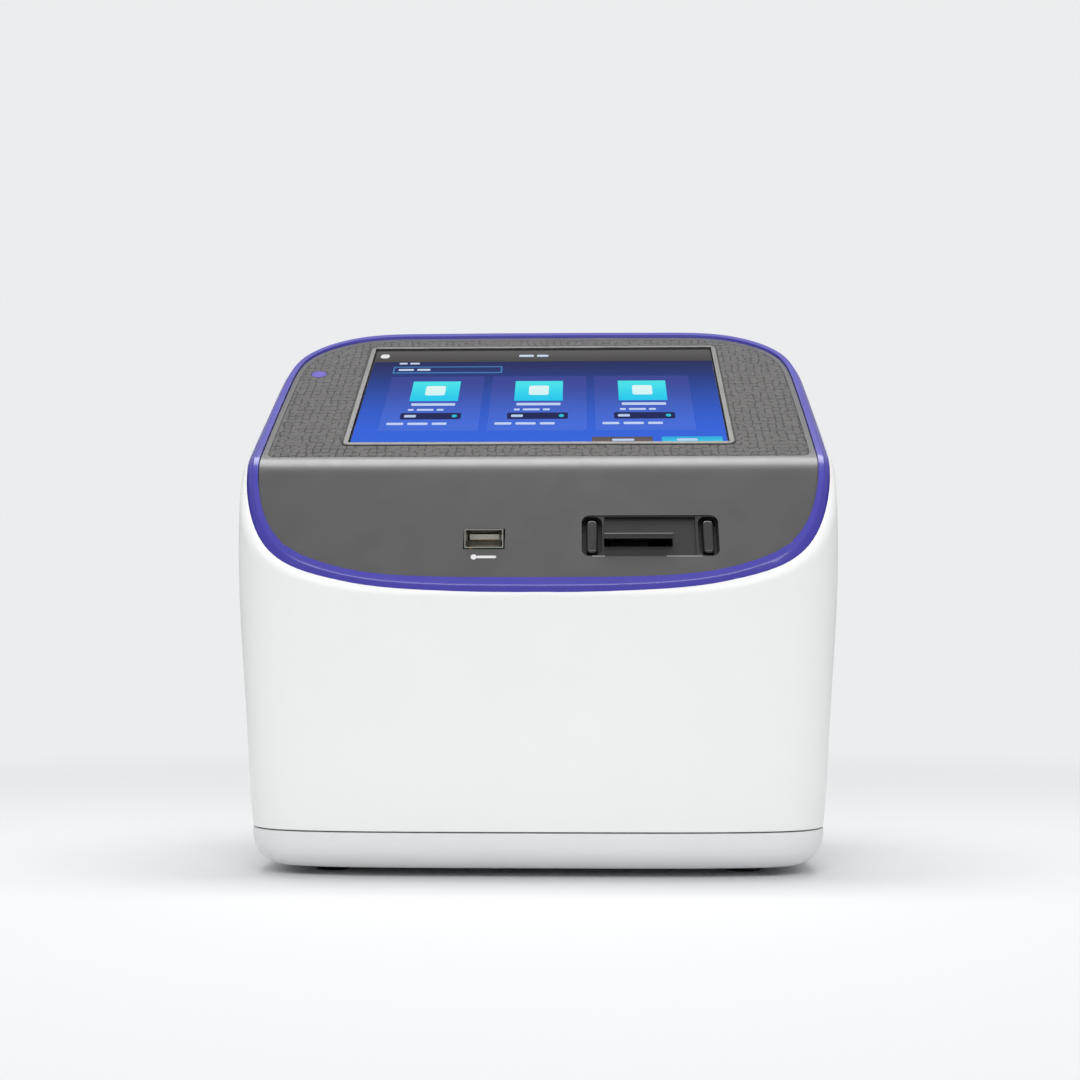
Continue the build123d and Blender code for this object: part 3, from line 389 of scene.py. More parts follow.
@dataclass(frozen=True)
class LitField:
    """Part of the lit display picture: two colours blended up the screen, with faint dots."""

    name: str
    low: Colour
    high: Colour
    low_place: float = 0.0
    high_place: float = 1.0
    strength: float = 1.0

    def material(self) -> bpy.types.Material:
        """Material of this field, which shines by itself."""
        sheet = NodeSheet(self.name)
        places = sheet.places(turn=(-UPPER_TILT, 0, 0))
        split = sheet.add("ShaderNodeSeparateXYZ")
        sheet.join(places, split.inputs["Vector"])
        share = sheet.span(split.outputs["Y"], (self.low_place, self.high_place), (0, 1))
        glow = sheet.blend(share, self.low, self.high)
        dots = sheet.span(sheet.noise(places, 0.0004, 0.0), (0.3, 0.7), (0, 0.06))
        sheet.set(Base_Color=(0.0, 0.0, 0.0), Roughness=0.4, Specular_IOR_Level=0.0)
        sheet.set(Emission_Color=sheet.blend(dots, glow, (0.0, 0.0, 0.0)), Emission_Strength=self.strength)
        return sheet.material


@dataclass(frozen=True)
class CircuitBoard:
    """Solder mask over fine copper tracks, with bright pads."""

    name: str
    mask: Colour
    track: Colour
    pad: Colour
    pitch: float = 0.0022

    def material(self) -> bpy.types.Material:
        """Material of this board."""
        sheet = NodeSheet(self.name)
        places = sheet.places()
        run = sheet.cells(places, self.pitch, "DISTANCE_TO_EDGE", "Distance")
        tracks = sheet.span(run, (0.05, 0.1), (1, 0))
        spot = sheet.cells(places, self.pitch * 2, "F1", "Distance")
        pads = sheet.span(spot, (0.13, 0.16), (1, 0))
        colour = sheet.blend(pads, sheet.blend(tracks, self.mask, self.track), self.pad)
        sheet.set(Base_Color=colour, Roughness=sheet.span(pads, (0, 1), (0.35, 0.25)), Metallic=pads)
        sheet.relief(sheet.sum_of("ADD", tracks, pads), 0.00003)
        return sheet.material


def select_only(*pieces: bpy.types.Object) -> None:
    """Selects these objects alone and makes the first one active."""
    bpy.ops.object.select_all(action="DESELECT")
    for piece in pieces:
        piece.select_set(True)
    bpy.context.view_layer.objects.active = pieces[0]


def apply_place(piece: bpy.types.Object) -> None:
    """Moves a piece's place, turn and scale into its mesh."""
    select_only(piece)
    bpy.ops.object.transform_apply(location=True, rotation=True, scale=True)


def joined(pieces: list[bpy.types.Object]) -> bpy.types.Object:
    """Joins pieces into the first one.

    Args:
        pieces: one object or more.

    Returns:
        The joined object.
    """
    select_only(*pieces)
    if len(pieces) > 1:
        bpy.ops.object.join()
    return bpy.context.object


def paint(name: str, material: bpy.types.Material) -> None:
    """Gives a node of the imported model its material."""
    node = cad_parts[name]
    node.data.materials.clear()
    node.data.materials.append(material)


def dress(names: Sequence[str], finish: Finish) -> None:
    """Gives several nodes one finish.

    Args:
        names: the nodes.
        finish: the finish that makes their material.
    """
    material = finish.material()
    for name in names:
        paint(name, material)
    log.info("dressed %s in %s", ", ".join(names), finish.name)


def hand_over(
    piece: bpy.types.Object, name: str, body: Body, finish: Finish
) -> bpy.types.Object:
    """Names a new piece, gives it its finish and lets it ride on its body.

    Args:
        piece: the mesh object, in place.
        name: the piece's name.
        body: what it rides on.
        finish: the finish that makes its material.

    Returns:
        The piece.
    """
    apply_place(piece)
    piece.name = name
    piece.data.name = name
    piece.data.materials.clear()
    piece.data.materials.append(finish.material())
    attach(piece, body.value)
    log.info("made %s with %d faces", name, len(piece.data.polygons))
    return piece


@dataclass(frozen=True)
class Slope:
    """A flat part of the panel: u runs to the right, v up the slope and w out of it."""

    origin: Vector
    tilt: float

    def matrix(self, u: float, v: float, w: float) -> Matrix:
        """Place and turn of a flat piece on the slope.

        Args:
            u: distance to the right of the origin.
            v: distance up the slope.
            w: distance out of the slope.

        Returns:
            The world matrix.
        """
        turn = Euler((self.tilt, 0, 0)).to_matrix().to_4x4()
        return Matrix.Translation(self.origin) @ turn @ Matrix.Translation((u, v, w))


def plate(width: float, length: float, thickness: float, corner: float) -> bpy.types.Object:
    """Thin plate with rounded corners, on the origin.

    Args:
        width: size along X.
        length: size along Y.
        thickness: size along Z, upwards from the origin.
        corner: radius of the corners.

    Returns:
        The plate.
    """
    bpy.ops.object.select_all(action="DESELECT")
    bpy.ops.mesh.primitive_plane_add(size=1, location=(0, 0, 0))
    piece = bpy.context.object
    piece.scale = (width, length, 1)
    apply_place(piece)
    bpy.ops.object.mode_set(mode="EDIT")
    bpy.ops.mesh.select_all(action="SELECT")
    if corner > 0:
        bpy.ops.mesh.bevel(offset=corner, segments=4, affect="VERTICES")
        bpy.ops.mesh.select_all(action="SELECT")
    bpy.ops.mesh.extrude_region_move(TRANSFORM_OT_translate={"value": (0, 0, thickness)})
    bpy.ops.mesh.select_all(action="SELECT")
    bpy.ops.mesh.normals_make_consistent(inside=False)
    bpy.ops.object.mode_set(mode="OBJECT")
    return piece


def copied(node: str) -> bpy.types.Object:
    """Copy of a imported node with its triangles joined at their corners.

    Args:
        node: the node's name.

    Returns:
        The copy, at the origin.
    """
    piece = bpy.data.objects.new(node + "_copy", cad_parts[node].data.copy())
    bpy.context.scene.collection.objects.link(piece)
    select_only(piece)
    bpy.ops.mesh.customdata_custom_splitnormals_clear()
    bpy.ops.object.mode_set(mode="EDIT")
    bpy.ops.mesh.select_all(action="SELECT")
    bpy.ops.mesh.remove_doubles(threshold=MERGE)
    bpy.ops.object.mode_set(mode="OBJECT")
    return piece


def hollowed(piece: bpy.types.Object, border: float) -> bpy.types.Object:
    """Cuts a plate's middle out, so that a rim is left.

    Args:
        piece: a plate from plate().
        border: width of the rim.

    Returns:
        The same piece.
    """
    select_only(piece)
    bpy.ops.object.mode_set(mode="EDIT")
    bpy.ops.mesh.select_all(action="DESELECT")
    bpy.ops.object.mode_set(mode="OBJECT")
    for face in piece.data.polygons:
        face.select = abs(face.normal.z) > 0.9
    bpy.ops.object.mode_set(mode="EDIT")
    bpy.ops.mesh.inset(thickness=border, depth=0)
    bpy.ops.mesh.bridge_edge_loops()
    bpy.ops.object.mode_set(mode="OBJECT")
    return piece


@dataclass(frozen=True)
class Field:
    """One plate of the display picture, by its share of the screen's width and length."""

    left: float
    low: float
    right: float
    high: float
    corner: float = 0.0


@dataclass
class DisplayPicture:
    """The lit picture under the touch glass: plain plates of colour with no words or pictures."""

    layer: float = 0.00006
    plate_thickness: float = 0.00003
    bed: float = 0.0001
    card_lefts: tuple[float, ...] = (0.068, 0.360, 0.651)
    card_width: float = 0.268
    card_low: float = 0.135
    card_high: float = 0.697
    tile_width: float = 0.135
    tile_low: float = 0.433
    tile_high: float = 0.643
    edge: float = 0.004
    dash_corner: float = 0.0005
    tile_mark_corner: float = 0.0012
    home_mark_corner: float = 0.0015
    header_low: float = 0.868
    button_high: float = 0.070

    def slope(self) -> Slope:
        """The plane of the glass's lower face, on its middle."""
        low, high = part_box("display_glass")
        out = Vector((0, -math.sin(UPPER_TILT), math.cos(UPPER_TILT)))
        return Slope((low + high) / 2 - out * (self.glass_size().z / 2 - self.bed), UPPER_TILT)

    def glass_size(self) -> Vector:
        """Width, length up the slope and thickness of the touch glass."""
        low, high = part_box("display_glass")
        run = high.y - low.y
        rise = high.z - low.z
        share = math.cos(2 * UPPER_TILT)
        length = (run * math.cos(UPPER_TILT) - rise * math.sin(UPPER_TILT)) / share
        thickness = (rise * math.cos(UPPER_TILT) - run * math.sin(UPPER_TILT)) / share
        return Vector((high.x - low.x, length, thickness))

    def lay(self, fields: Sequence[Field], level: int) -> bpy.types.Object:
        """Lays plates on the slope at one level and joins them.

        Args:
            fields: the plates.
            level: 0 for the lowest layer.

        Returns:
            The joined piece.
        """
        slope = self.slope()
        size = self.glass_size()
        pieces = []
        for field in fields:
            width = (field.right - field.left) * size.x
            length = (field.high - field.low) * size.y
            piece = plate(width, length, self.plate_thickness, field.corner)
            u = ((field.left + field.right) / 2 - 0.5) * size.x
            v = ((field.low + field.high) / 2 - 0.5) * size.y
            piece.matrix_world = slope.matrix(u, v, level * self.layer)
            pieces.append(piece)
        return joined(pieces)

    def card_fields(
        self, left: float, right: float, low: float, high: float, corner: float = 0.0
    ) -> list[Field]:
        """The same field on each card.

        Args:
            left: left edge from the card's middle, as a share of the screen.
            right: right edge in the same measure.
            low: low edge as a share of the screen's length.
            high: high edge in the same measure.
            corner: radius of the corners.

        Returns:
            One field for each card.
        """
        middles = [edge + self.card_width / 2 for edge in self.card_lefts]
        return [Field(middle + left, low, middle + right, high, corner) for middle in middles]

    def up(self, share: float) -> float:
        """Where a share of the screen's length lies on the turned Y axis of the materials."""
        slope = self.slope()
        point = slope.matrix(0, (share - 0.5) * self.glass_size().y, 0).translation
        return point.y * math.cos(UPPER_TILT) + point.z * math.sin(UPPER_TILT)

    def add(self, name: str, fields: Sequence[Field], level: int, low: Colour, high: Colour) -> None:
        """Makes one piece of the picture.

        Args:
            name: the piece's name.
            fields: its plates.
            level: its layer.
            low: colour at the fields' lower edge.
            high: colour at their upper edge.
        """
        piece = self.lay(fields, level)
        bottom = min(field.low for field in fields)
        top = max(field.high for field in fields)
        finish = LitField(name + "_light", low, high, self.up(bottom), self.up(top))
        hand_over(piece, name, Body.INSTRUMENT, finish)

    def words(
        self, left: float, right: float, low: float, high: float, shares: Sequence[float]
    ) -> list[Field]:
        """A row of plain dashes, like words seen from afar.

        Args:
            left: left end of the row, as a share of the screen.
            right: right end in the same measure.
            low: low edge as a share of the screen's length.
            high: high edge in the same measure.
            shares: lengths of the dashes, as shares of the row with its gaps.

        Returns:
            One field for each dash.
        """
        gap = (1 - sum(shares)) / max(1, len(shares) - 1) * (right - left)
        row = []
        for share in shares:
            end = left + share * (right - left)
            row.append(Field(left, low, end, high, self.dash_corner))
            left = end + gap
        return row

    def backdrops(self) -> None:
        """Makes the fields of colour that the rest lies on."""
        edge = self.edge
        backdrop = [Field(edge, edge, 1 - edge, 1 - edge)]
        self.add("picture_backdrop", backdrop, 0, shade(46, 100, 226), shade(10, 18, 70))
        header = [Field(edge, self.header_low, 1 - edge, 1 - edge)]
        self.add("picture_header", header, 1, shade(70, 68, 68), shade(92, 90, 90))
        half = self.card_width / 2
        cards = self.card_fields(-half, half, self.card_low, self.card_high)
        self.add("picture_cards", cards, 1, shade(64, 108, 222), shade(50, 64, 150))
        grey = [Field(0.641, edge, 0.801, self.button_high)]
        self.add("picture_grey_button", grey, 2, shade(112, 100, 94), shade(92, 84, 84))
        cyan = [Field(0.825, edge, 0.984, self.button_high)]
        self.add("picture_cyan_button", cyan, 2, shade(62, 206, 232), shade(34, 178, 226))

    def entries(self) -> None:
        """Makes the entry box at the top and the dark wells on the cards."""
        rim = [Field(0.066, 0.736, 0.384, 0.812, self.dash_corner)]
        self.add("picture_entry_rim", rim, 2, shade(58, 132, 196), shade(58, 132, 196))
        bed = [Field(0.070, 0.746, 0.380, 0.802, self.dash_corner)]
        self.add("picture_entry_bed", bed, 3, shade(24, 44, 112), shade(20, 36, 100))
        wells = self.card_fields(-0.083, 0.083, 0.246, 0.310, 2 * self.dash_corner)
        self.add("picture_wells", wells, 2, shade(8, 22, 84), shade(8, 22, 84))
        marks = self.card_fields(-0.072, -0.040, 0.266, 0.290, self.dash_corner)
        self.add("picture_well_bars", marks, 3, shade(190, 210, 246), shade(190, 210, 246))
        arrows = self.card_fields(0.058, 0.072, 0.264, 0.292, 2 * self.dash_corner)
        self.add("picture_arrows", arrows, 3, shade(40, 190, 220), shade(40, 190, 220))

    def build(self) -> None:
        """Makes every piece of the picture."""
        self.backdrops()
        self.entries()
        tile_half = self.tile_width / 2
        tiles = self.card_fields(-tile_half, tile_half, self.tile_low, self.tile_high)
        self.add("picture_tiles", tiles, 2, shade(14, 206, 244), shade(66, 232, 240))
        sheets = self.card_fields(-0.028, 0.028, 0.492, 0.592, self.tile_mark_corner)
        self.add("picture_tile_marks", sheets, 3, shade(214, 250, 252), shade(230, 252, 250))
        rows = self.words(0.080, 0.158, 0.838, 0.856, (0.3, 0.6))
        rows += self.words(0.430, 0.545, 0.920, 0.944, (0.38, 0.54))
        rows += self.words(0.082, 0.205, 0.764, 0.784, (0.36, 0.56))
        rows += self.words(0.864, 0.918, 0.030, 0.050, (1.0,))
        rows += self.words(0.694, 0.752, 0.030, 0.050, (1.0,))
        for left in self.card_lefts:
            middle = left + self.card_width / 2
            rows += self.words(middle - 0.060, middle + 0.062, 0.383, 0.408, (1.0,))
            rows += self.words(middle - 0.066, middle + 0.070, 0.332, 0.350, (0.12, 0.42, 0.34))
            rows += self.words(middle - 0.115, middle + 0.112, 0.190, 0.212, (0.2, 0.32, 0.38))
        self.add("picture_bars", rows, 4, shade(196, 214, 250), shade(206, 220, 244))
        home = [Field(0.018, 0.912, 0.044, 0.958, self.home_mark_corner)]
        self.add("picture_home_mark", home, 2, shade(236, 238, 240), shade(236, 238, 240))


@dataclass(frozen=True)
class Shift:
    """How far an outline moves to the front at each X: most in the middle, none past the half width."""

    reach: float
    half: float
    power: float
    softness: float = 1.0

    def at(self, x: float) -> float:
        """Shift at one X."""
        share = max(0.0, 1 - (abs(x) / self.half) ** self.power)
        return self.reach * share**self.softness


@dataclass
class SlimRing:
    """The ring and the panel's edge, drawn out along the lower slope so that the ring is slim there."""

    ring: Moulding = Moulding(
        "ring_violet", shade(58, 52, 166), roughness=0.34, mottle=0.03, grain_depth=0.000003,
        coat=0.6, coat_roughness=0.1,
    )
    ridge_y: float = -0.0414
    ridge_z: float = 0.15478
    bend_radius: float = 0.018
    inner: Shift = Shift(0.0034, 0.112, 4, 0.75)
    crest: Shift = Shift(0.00165, 0.100, 2)
    outer: Shift = Shift(0.0009, 0.075, 2)
    fade_front: float = -0.045
    fade_back: float = -0.020
    upright: float = 0.05
    sideways: float = 0.9
    port_reach: float = 0.075
    wall_reach: float = 0.0002
    crest_bevel: float = 0.00045
    crest_angle: float = math.radians(12)

    def slope_height(self, y: float) -> float:
        """Height of the bent slope at one Y."""
        run = self.bend_radius * math.tan((LOWER_TILT - UPPER_TILT) / 2)
        low_y = self.ridge_y - run * math.cos(LOWER_TILT)
        high_y = self.ridge_y + run * math.cos(UPPER_TILT)
        if y < low_y:
            return self.ridge_z + (y - self.ridge_y) * math.tan(LOWER_TILT)
        if y > high_y:
            return self.ridge_z + (y - self.ridge_y) * math.tan(UPPER_TILT)
        low_z = self.ridge_z - run * math.sin(LOWER_TILT)
        centre_y = low_y + self.bend_radius * math.sin(LOWER_TILT)
        centre_z = low_z - self.bend_radius * math.cos(LOWER_TILT)
        return centre_z + math.sqrt(self.bend_radius**2 - (y - centre_y) ** 2)

    def slide(self, place: Vector, shift: Shift) -> None:
        """Slides one corner of a mesh to the front, along the slope.

        Args:
            place: the corner, which is changed.
            shift: how far it goes at each X.
        """
        share = min(1.0, max(0.0, (self.fade_back - place.y) / (self.fade_back - self.fade_front)))
        new_y = place.y - shift.at(place.x) * share
        place.z += self.slope_height(new_y) - self.slope_height(place.y)
        place.y = new_y

    def wall_corners(self, piece: bpy.types.Object, outward: bool) -> set[int]:
        """Corners of the upright walls on one side of a ring or sheet, and those right beside them.

        Args:
            piece: the mesh object.
            outward: True for the walls that face away from the middle.

        Returns:
            The corners' numbers.
        """
        found = set()
        for face in piece.data.polygons:
            ahead = face.center.y - self.ridge_y / 2
            faces_out = face.normal.x * face.center.x + face.normal.y * ahead > 0
            is_hole = abs(face.normal.x) > self.sideways and abs(face.center.x) < self.port_reach
            if abs(face.normal.z) < self.upright and faces_out == outward and not is_hole:
                found.update(face.vertices)
        known = [piece.data.vertices[number].co.xy for number in found]
        for vertex in piece.data.vertices:
            if any((vertex.co.xy - place).length < self.wall_reach for place in known):
                found.add(vertex.index)
        return found

    def soften_crest(self, piece: bpy.types.Object) -> None:
        """Rounds the crest between the ring's top face and its flank."""
        select_only(piece)
        bpy.ops.object.mode_set(mode="EDIT")
        bpy.ops.mesh.select_mode(type="EDGE")
        bpy.ops.mesh.select_all(action="DESELECT")
        bpy.ops.object.mode_set(mode="OBJECT")
        sides = {}
        for face in piece.data.polygons:
            for key in face.edge_keys:
                sides.setdefault(key, []).append(face.normal)
        for edge in piece.data.edges:
            normals = sides[edge.key]
            faces_up = len(normals) == 2 and min(normals[0].z, normals[1].z) > self.upright
            edge.select = faces_up and normals[0].angle(normals[1]) > self.crest_angle
        bpy.ops.object.mode_set(mode="EDIT")
        bpy.ops.mesh.bevel(offset=self.crest_bevel, segments=3, affect="EDGES", clamp_overlap=True)
        bpy.ops.object.mode_set(mode="OBJECT")

    def build_ring(self) -> None:
        """Makes the slim ring."""
        piece = copied("trim_ring")
        inner = self.wall_corners(piece, outward=False)
        outer = self.wall_corners(piece, outward=True)
        for vertex in piece.data.vertices:
            if vertex.index in inner:
                self.slide(vertex.co, self.inner)
            elif vertex.index in outer:
                self.slide(vertex.co, self.outer)
            else:
                self.slide(vertex.co, self.crest)
        self.soften_crest(piece)
        select_only(piece)
        bpy.ops.object.shade_smooth_by_angle(angle=math.radians(20))
        hand_over(piece, "slim_trim_ring", Body.INSTRUMENT, self.ring)
        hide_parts("trim_ring")

    def build_panel(self, finish: Finish) -> None:
        """Makes the panel that reaches out to the slim ring.

        Args:
            finish: the panel's finish.
        """
        piece = copied("control_panel")
        outer = self.wall_corners(piece, outward=True)
        for vertex in piece.data.vertices:
            if vertex.index in outer:
                self.slide(vertex.co, self.inner)
        select_only(piece)
        bpy.ops.object.shade_smooth_by_angle(angle=math.radians(20))
        hand_over(piece, "fitted_control_panel", Body.INSTRUMENT, finish)
        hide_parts("control_panel")


@dataclass
class Casing:
    """The white housing, the pan under it, its feet and screws, and the ring round the panel."""

    white: Moulding = Moulding(
        "housing_white", shade(248, 249, 248), roughness=0.34, mottle=0.004, grain_depth=0.000004
    )
    pan: Moulding = Moulding(
        "pan_white", shade(236, 237, 238), roughness=0.4, mottle=0.008, grain_depth=0.000006
    )
    rubber: Moulding = Moulding(
        "foot_rubber", shade(38, 38, 40), roughness=0.85, mottle=0.2, grain=0.0004, grain_depth=0.00003
    )
    screw: Metal = Metal("screw_nickel", shade(190, 190, 186), roughness=0.3)

    def build(self) -> None:
        """Dresses the casing."""
        dress(["main_housing"], self.white)
        dress(["base_pan"], self.pan)
        SlimRing().build_ring()
        dress(["foot_back_left", "foot_back_right", "foot_front_left", "foot_front_right"], self.rubber)
        dress(["base_screws"], self.screw)


@dataclass
class Controls:
    """The dark panel, its textured inlay, the display round the picture and the status light."""

    panel: Moulding = Moulding(
        "panel_grey", shade(56, 55, 57), roughness=0.4, mottle=0.02, grain=0.0005, grain_depth=0.000006,
        coat=0.8, coat_roughness=0.26, specular=0.7,
    )
    inlay: CellGrain = CellGrain("inlay_cells", shade(80, 78, 77), shade(24, 23, 23))
    rim: Metal = Metal("display_rim", shade(132, 131, 129), roughness=0.42, streak=(0.05, 1, 1))
    # Near-black strip laid in the gap round the display's frame: painted shade of the groove there.
    groove_shade_strip: Moulding = Moulding("groove_painted_shade", shade(30, 30, 31), roughness=0.6, mottle=0.1)
    glass: ClearGlass = ClearGlass("touch_glass", bending=1.18)
    module: Moulding = Moulding("display_module", shade(18, 20, 30), roughness=0.5, mottle=0.1)
    bracket: Metal = Metal("plated_sheet", shade(176, 178, 180), roughness=0.4, streak=(0.1, 1, 1))
    light: Moulding = Moulding(
        "status_lens", shade(84, 66, 178), roughness=0.35, mottle=0.1, blotch=0.003, coat=0.4
    )
    groove_shade_width: float = 0.0008
    groove_shade_height: float = 0.0004
    groove_shade_corner: float = 0.0034

    def build_groove_shade(self) -> None:
        """Makes a thin dark strip in the gap round the display's frame, which paints the shade of the groove
        there.
        """
        low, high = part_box("display_frame")
        run = high.y - low.y
        rise = high.z - low.z
        share = math.cos(2 * UPPER_TILT)
        length = (run * math.cos(UPPER_TILT) - rise * math.sin(UPPER_TILT)) / share
        thickness = (rise * math.cos(UPPER_TILT) - run * math.sin(UPPER_TILT)) / share
        width = high.x - low.x
        border = 2 * self.groove_shade_width
        rim = plate(width + border, length + border, self.groove_shade_height, self.groove_shade_corner)
        hollowed(rim, self.groove_shade_width)
        out = Vector((0, -math.sin(UPPER_TILT), math.cos(UPPER_TILT)))
        slope = Slope((low + high) / 2 + out * thickness / 2, UPPER_TILT)
        rim.matrix_world = slope.matrix(0, 0, -self.groove_shade_height)
        hand_over(rim, "display_groove_shade", Body.INSTRUMENT, self.groove_shade_strip)

    def build(self) -> None:
        """Dresses the panel and what it holds."""
        SlimRing().build_panel(self.panel)
        self.build_groove_shade()
        dress(["texture_inlay"], self.inlay)
        dress(["display_frame"], self.rim)
        dress(["display_glass"], self.glass)
        dress(["lcd_module"], self.module)
        dress(["display_bracket"], self.bracket)
        dress(["status_light_pipe"], self.light)
        DisplayPicture().build()


@dataclass
class Ports:
    """The front and back connectors, the slide port and the power switch."""

    shell: Metal = Metal("connector_shell", shade(198, 197, 192), roughness=0.22, streak=(1, 0.1, 1))
    tongue: Moulding = Moulding("connector_tongue", shade(206, 202, 190), roughness=0.5)
    gilt: Metal = Metal("contact_gilt", shade(196, 150, 66), roughness=0.25)
    black: Moulding = Moulding(
        "port_black", shade(30, 30, 32), roughness=0.34, mottle=0.1, coat=0.5, coat_roughness=0.18
    )
    # Light grey that paints the highlight on the lit lower edges of the slide port's recess.
    painted_highlight_finish: Moulding = Moulding("painted_ledge_highlight", shade(122, 120, 118), roughness=0.4)
    mark: Moulding = Moulding("mark_white", shade(226, 226, 228), roughness=0.5)
    ridge: Vector = Vector((0, -0.0414, 0.15478))
    port_low_v: float = -0.0430
    highlight_strip_places: tuple[tuple[float, float], ...] = ((0.0232, 0.0046), (0.0548, 0.0132))
    highlight_strip_length: float = 0.0007
    mark_place: tuple[float, float] = (-0.0192, -0.0432)
    mark_size: tuple[float, float] = (0.0072, 0.0011)
    mark_dot: float = 0.0022
    print_height: float = 0.00006

    def lay_print(self, name: str, rows: Sequence[Sequence[float]], finish: Finish) -> None:
        """Lays thin plates on the lower slope and joins them.

        Args:
            name: the joined piece's name.
            rows: middle u, middle v, width, length and corner of each plate.
            finish: its finish.
        """
        slope = Slope(self.ridge, LOWER_TILT)
        pieces = []
        for middle_u, middle_v, width, length, corner in rows:
            piece = plate(width, length, 2 * self.print_height, corner)
            piece.matrix_world = slope.matrix(middle_u, middle_v, -self.print_height)
            pieces.append(piece)
        hand_over(joined(pieces), name, Body.INSTRUMENT, finish)

    def build_prints(self) -> None:
        """Makes the plain mark under the USB port and the thin light strips under the slide port, which paint
        the highlight on the lit lower edges of the port's recess.
        """
        u, v = self.mark_place
        bar_u = u + self.mark_dot / 2
        rows = [(bar_u, v, *self.mark_size, self.mark_size[1] * 0.45)]
        rows.append((u - self.mark_size[0] / 2, v, self.mark_dot, self.mark_dot, self.mark_dot * 0.45))
        self.lay_print("usb_port_mark", rows, self.mark)
        # Strips of painted highlight along the slide port's lower edge.
        rows = [
            (place, self.port_low_v, width, self.highlight_strip_length, 0.0) for place, width in self.highlight_strip_places
        ]
        self.lay_print("slide_port_painted_highlights", rows, self.painted_highlight_finish)

    def build(self) -> None:
        """Dresses the connectors, the slide port and the switch."""
        dress(["usb_front_shell", "usb_back_shell", "dc_jack_pin"], self.shell)
        dress(["usb_front_tongue", "usb_back_tongue"], self.tongue)
        dress(["usb_front_contacts", "usb_back_contacts"], self.gilt)
        black = ["slide_port_bezel", "dc_jack_body", "switch_frame", "power_rocker", "slide_carriage"]
        dress(black, self.black)
        self.build_prints()


@dataclass
class Internals:
    """The chassis, boards, slide stage, lamp and focus drive inside the housing."""

    board: CircuitBoard = CircuitBoard(
        "board_green", shade(14, 96, 52), shade(26, 128, 66), shade(206, 176, 96)
    )
    sheet: Metal = Metal("chassis_sheet", shade(182, 184, 186), roughness=0.36, streak=(0.1, 1, 1))
    anodised: Metal = Metal("anodised_aluminium", shade(160, 163, 168), roughness=0.42, grain_depth=0.00001)
    dark: Metal = Metal("black_anodised", shade(34, 34, 37), roughness=0.4, metallic=0.7)
    brass: Metal = Metal("turned_brass", shade(206, 172, 98), roughness=0.28)
    ground: Metal = Metal("ground_steel", shade(204, 205, 206), roughness=0.16, streak=(1, 1, 0.2))
    chip: Moulding = Moulding("chip_moulding", shade(30, 30, 32), roughness=0.6, mottle=0.1)
    lens: ClearGlass = ClearGlass("condenser_glass", (0.97, 0.99, 0.98))

    def build(self) -> None:
        """Dresses what the housing holds."""
        boards = ["main_board", "back_board", "usb_front_board", "status_light_board"]
        dress([*boards, "lamp_board", "camera_board"], self.board)
        dress(["chassis_plate", "stage_bracket"], self.sheet)
        machined = ["heat_sink", "slide_rail_left", "slide_rail_right", "lamp_arm", "rod_foot"]
        dress([*machined, "focus_carriage"], self.anodised)
        dress(["lamp_barrel", "objective", "camera_tube", "focus_motor"], self.dark)
        dress(["board_standoffs", "focus_nut"], self.brass)
        dress(["focus_rods", "lead_screw"], self.ground)
        dress(["processor"], self.chip)
        dress(["condenser_lens"], self.lens)


@dataclass(frozen=True)
class Softbox:
    """A rectangular soft lamp; its glow is how bright its face is, where a white wall is 1."""

    name: str
    place: tuple[float, float, float]
    aim: tuple[float, float, float]
    size: tuple[float, float]
    glow: float


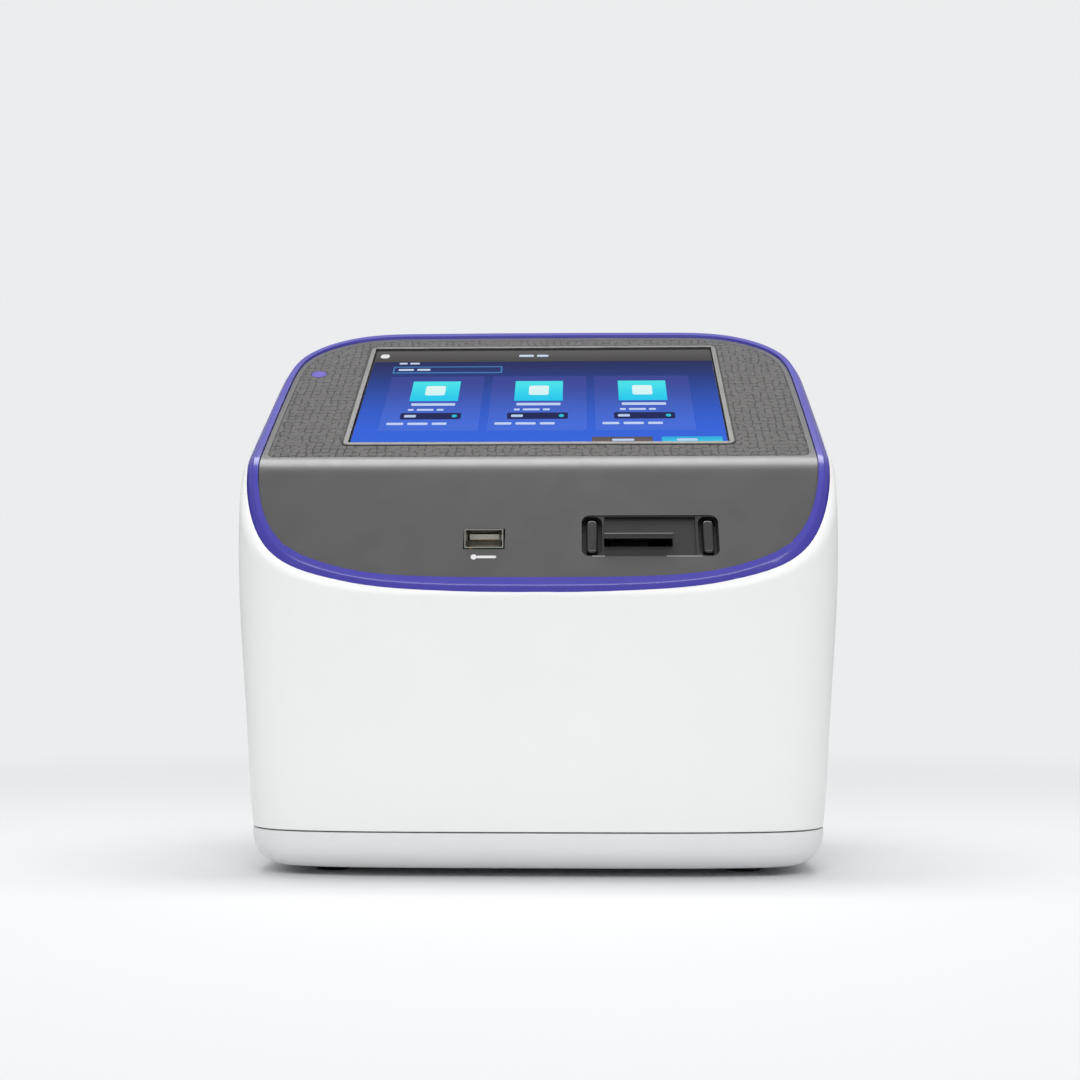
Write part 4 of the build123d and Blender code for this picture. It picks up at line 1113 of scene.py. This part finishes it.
@dataclass
class Studio:
    """Floor, lamps, world and camera round the object."""

    overhead: Softbox = Softbox("overhead_softbox", (0, 0.08, 1.05), (0, 0.02, 0.15), (0.9, 0.46), 5.6)
    front: Softbox = Softbox("front_softbox", (0, -1.35, 1.08), (0, 0, 0.1), (1.6, 0.36), 5.2)
    floor_half: float = 6.0
    floor_colour: Colour = shade(232, 233, 234)
    backdrop: Colour = shade(236, 237, 238)
    blend_near: float = 0.2
    blend_far: float = 0.8
    ambient: float = 0.55
    camera_place: tuple[float, float, float] = (0.0161, -0.6140, 0.0787)
    camera_pitch: float = 4.6
    camera_yaw: float = 1.5
    lens_mm: float = 50.13
    sensor_mm: float = 36.0
    nearest: float = 0.01

    def floor(self) -> None:
        """Makes the floor."""
        bpy.ops.object.select_all(action="DESELECT")
        bpy.ops.mesh.primitive_circle_add(vertices=64, radius=self.floor_half, fill_type="NGON")
        piece = bpy.context.object
        piece.name = "floor"
        sheet = NodeSheet("floor_paper")
        cloud = sheet.noise(sheet.places(), 0.5, 2.0)
        low = tuple(part * 0.985 for part in self.floor_colour)
        sheet.set(Base_Color=sheet.blend(cloud, low, self.floor_colour), Roughness=0.9)
        self.fade_into_backdrop(sheet)
        piece.data.materials.append(sheet.material)

    def fade_into_backdrop(self, sheet: NodeSheet) -> None:
        """Lets the floor turn into the backdrop's colour away from the object, so that no horizon shows.

        Args:
            sheet: the floor's material.
        """
        distance = sheet.add("ShaderNodeVectorMath", operation="LENGTH")
        sheet.join(sheet.places(), distance.inputs[0])
        share = sheet.span(distance.outputs["Value"], (self.blend_near, self.blend_far), (0, 1))
        path = sheet.add("ShaderNodeLightPath")
        seen = sheet.sum_of("MULTIPLY", share, path.outputs["Is Camera Ray"])
        glow = sheet.add("ShaderNodeEmission")
        glow.inputs["Color"].default_value = (*self.backdrop, 1.0)
        mix = sheet.add("ShaderNodeMixShader")
        sheet.join(seen, mix.inputs[0])
        sheet.join(sheet.shader.outputs["BSDF"], mix.inputs[1])
        sheet.join(glow.outputs["Emission"], mix.inputs[2])
        output = next(node for node in sheet.tree.nodes if node.type == "OUTPUT_MATERIAL")
        sheet.join(mix.outputs["Shader"], output.inputs["Surface"])

    def lamp(self, box: Softbox) -> None:
        """Adds a rectangular soft lamp.

        Args:
            box: what it is and where it hangs.
        """
        direction = Vector(box.aim) - Vector(box.place)
        turn = direction.to_track_quat("-Z", "Y").to_euler()
        bpy.ops.object.light_add(type="AREA", location=box.place, rotation=turn)
        lamp = bpy.context.object
        lamp.name = box.name
        lamp.data.shape = "RECTANGLE"
        lamp.data.size, lamp.data.size_y = box.size
        lamp.data.energy = box.glow * math.pi * box.size[0] * box.size[1]

    def world(self) -> None:
        """Sets the even light round the object and the pale ground that the camera sees behind it."""
        world = bpy.data.worlds.new("studio")
        bpy.context.scene.world = world
        world.use_nodes = True
        tree = world.node_tree
        tree.nodes.clear()
        path = tree.nodes.new("ShaderNodeLightPath")
        even = tree.nodes.new("ShaderNodeBackground")
        seen = tree.nodes.new("ShaderNodeBackground")
        mix = tree.nodes.new("ShaderNodeMixShader")
        output = tree.nodes.new("ShaderNodeOutputWorld")
        even.inputs["Strength"].default_value = self.ambient
        seen.inputs["Color"].default_value = (*self.backdrop, 1.0)
        tree.links.new(path.outputs["Is Camera Ray"], mix.inputs[0])
        tree.links.new(even.outputs[0], mix.inputs[1])
        tree.links.new(seen.outputs[0], mix.inputs[2])
        tree.links.new(mix.outputs[0], output.inputs["Surface"])

    def camera(self) -> None:
        """Adds the camera."""
        turn = (math.radians(90 + self.camera_pitch), 0, math.radians(self.camera_yaw))
        bpy.ops.object.camera_add(location=self.camera_place, rotation=turn)
        camera = bpy.context.object
        camera.data.lens = self.lens_mm
        camera.data.sensor_width = self.sensor_mm
        camera.data.clip_start = self.nearest
        bpy.context.scene.camera = camera

    def build(self) -> None:
        """Makes the whole studio."""
        self.floor()
        self.world()
        self.lamp(self.overhead)
        self.lamp(self.front)
        self.camera()
        bpy.context.scene.view_settings.view_transform = "Standard"


def main() -> None:
    """Builds each part of the looks in order."""
    logging.basicConfig(level=logging.INFO, format="%(name)s: %(message)s")
    for part in (Casing(), Controls(), Ports(), Internals(), Studio()):
        part.build()
        log.info("finished %s", type(part).__name__)


if __name__ == "__main__":
    main()
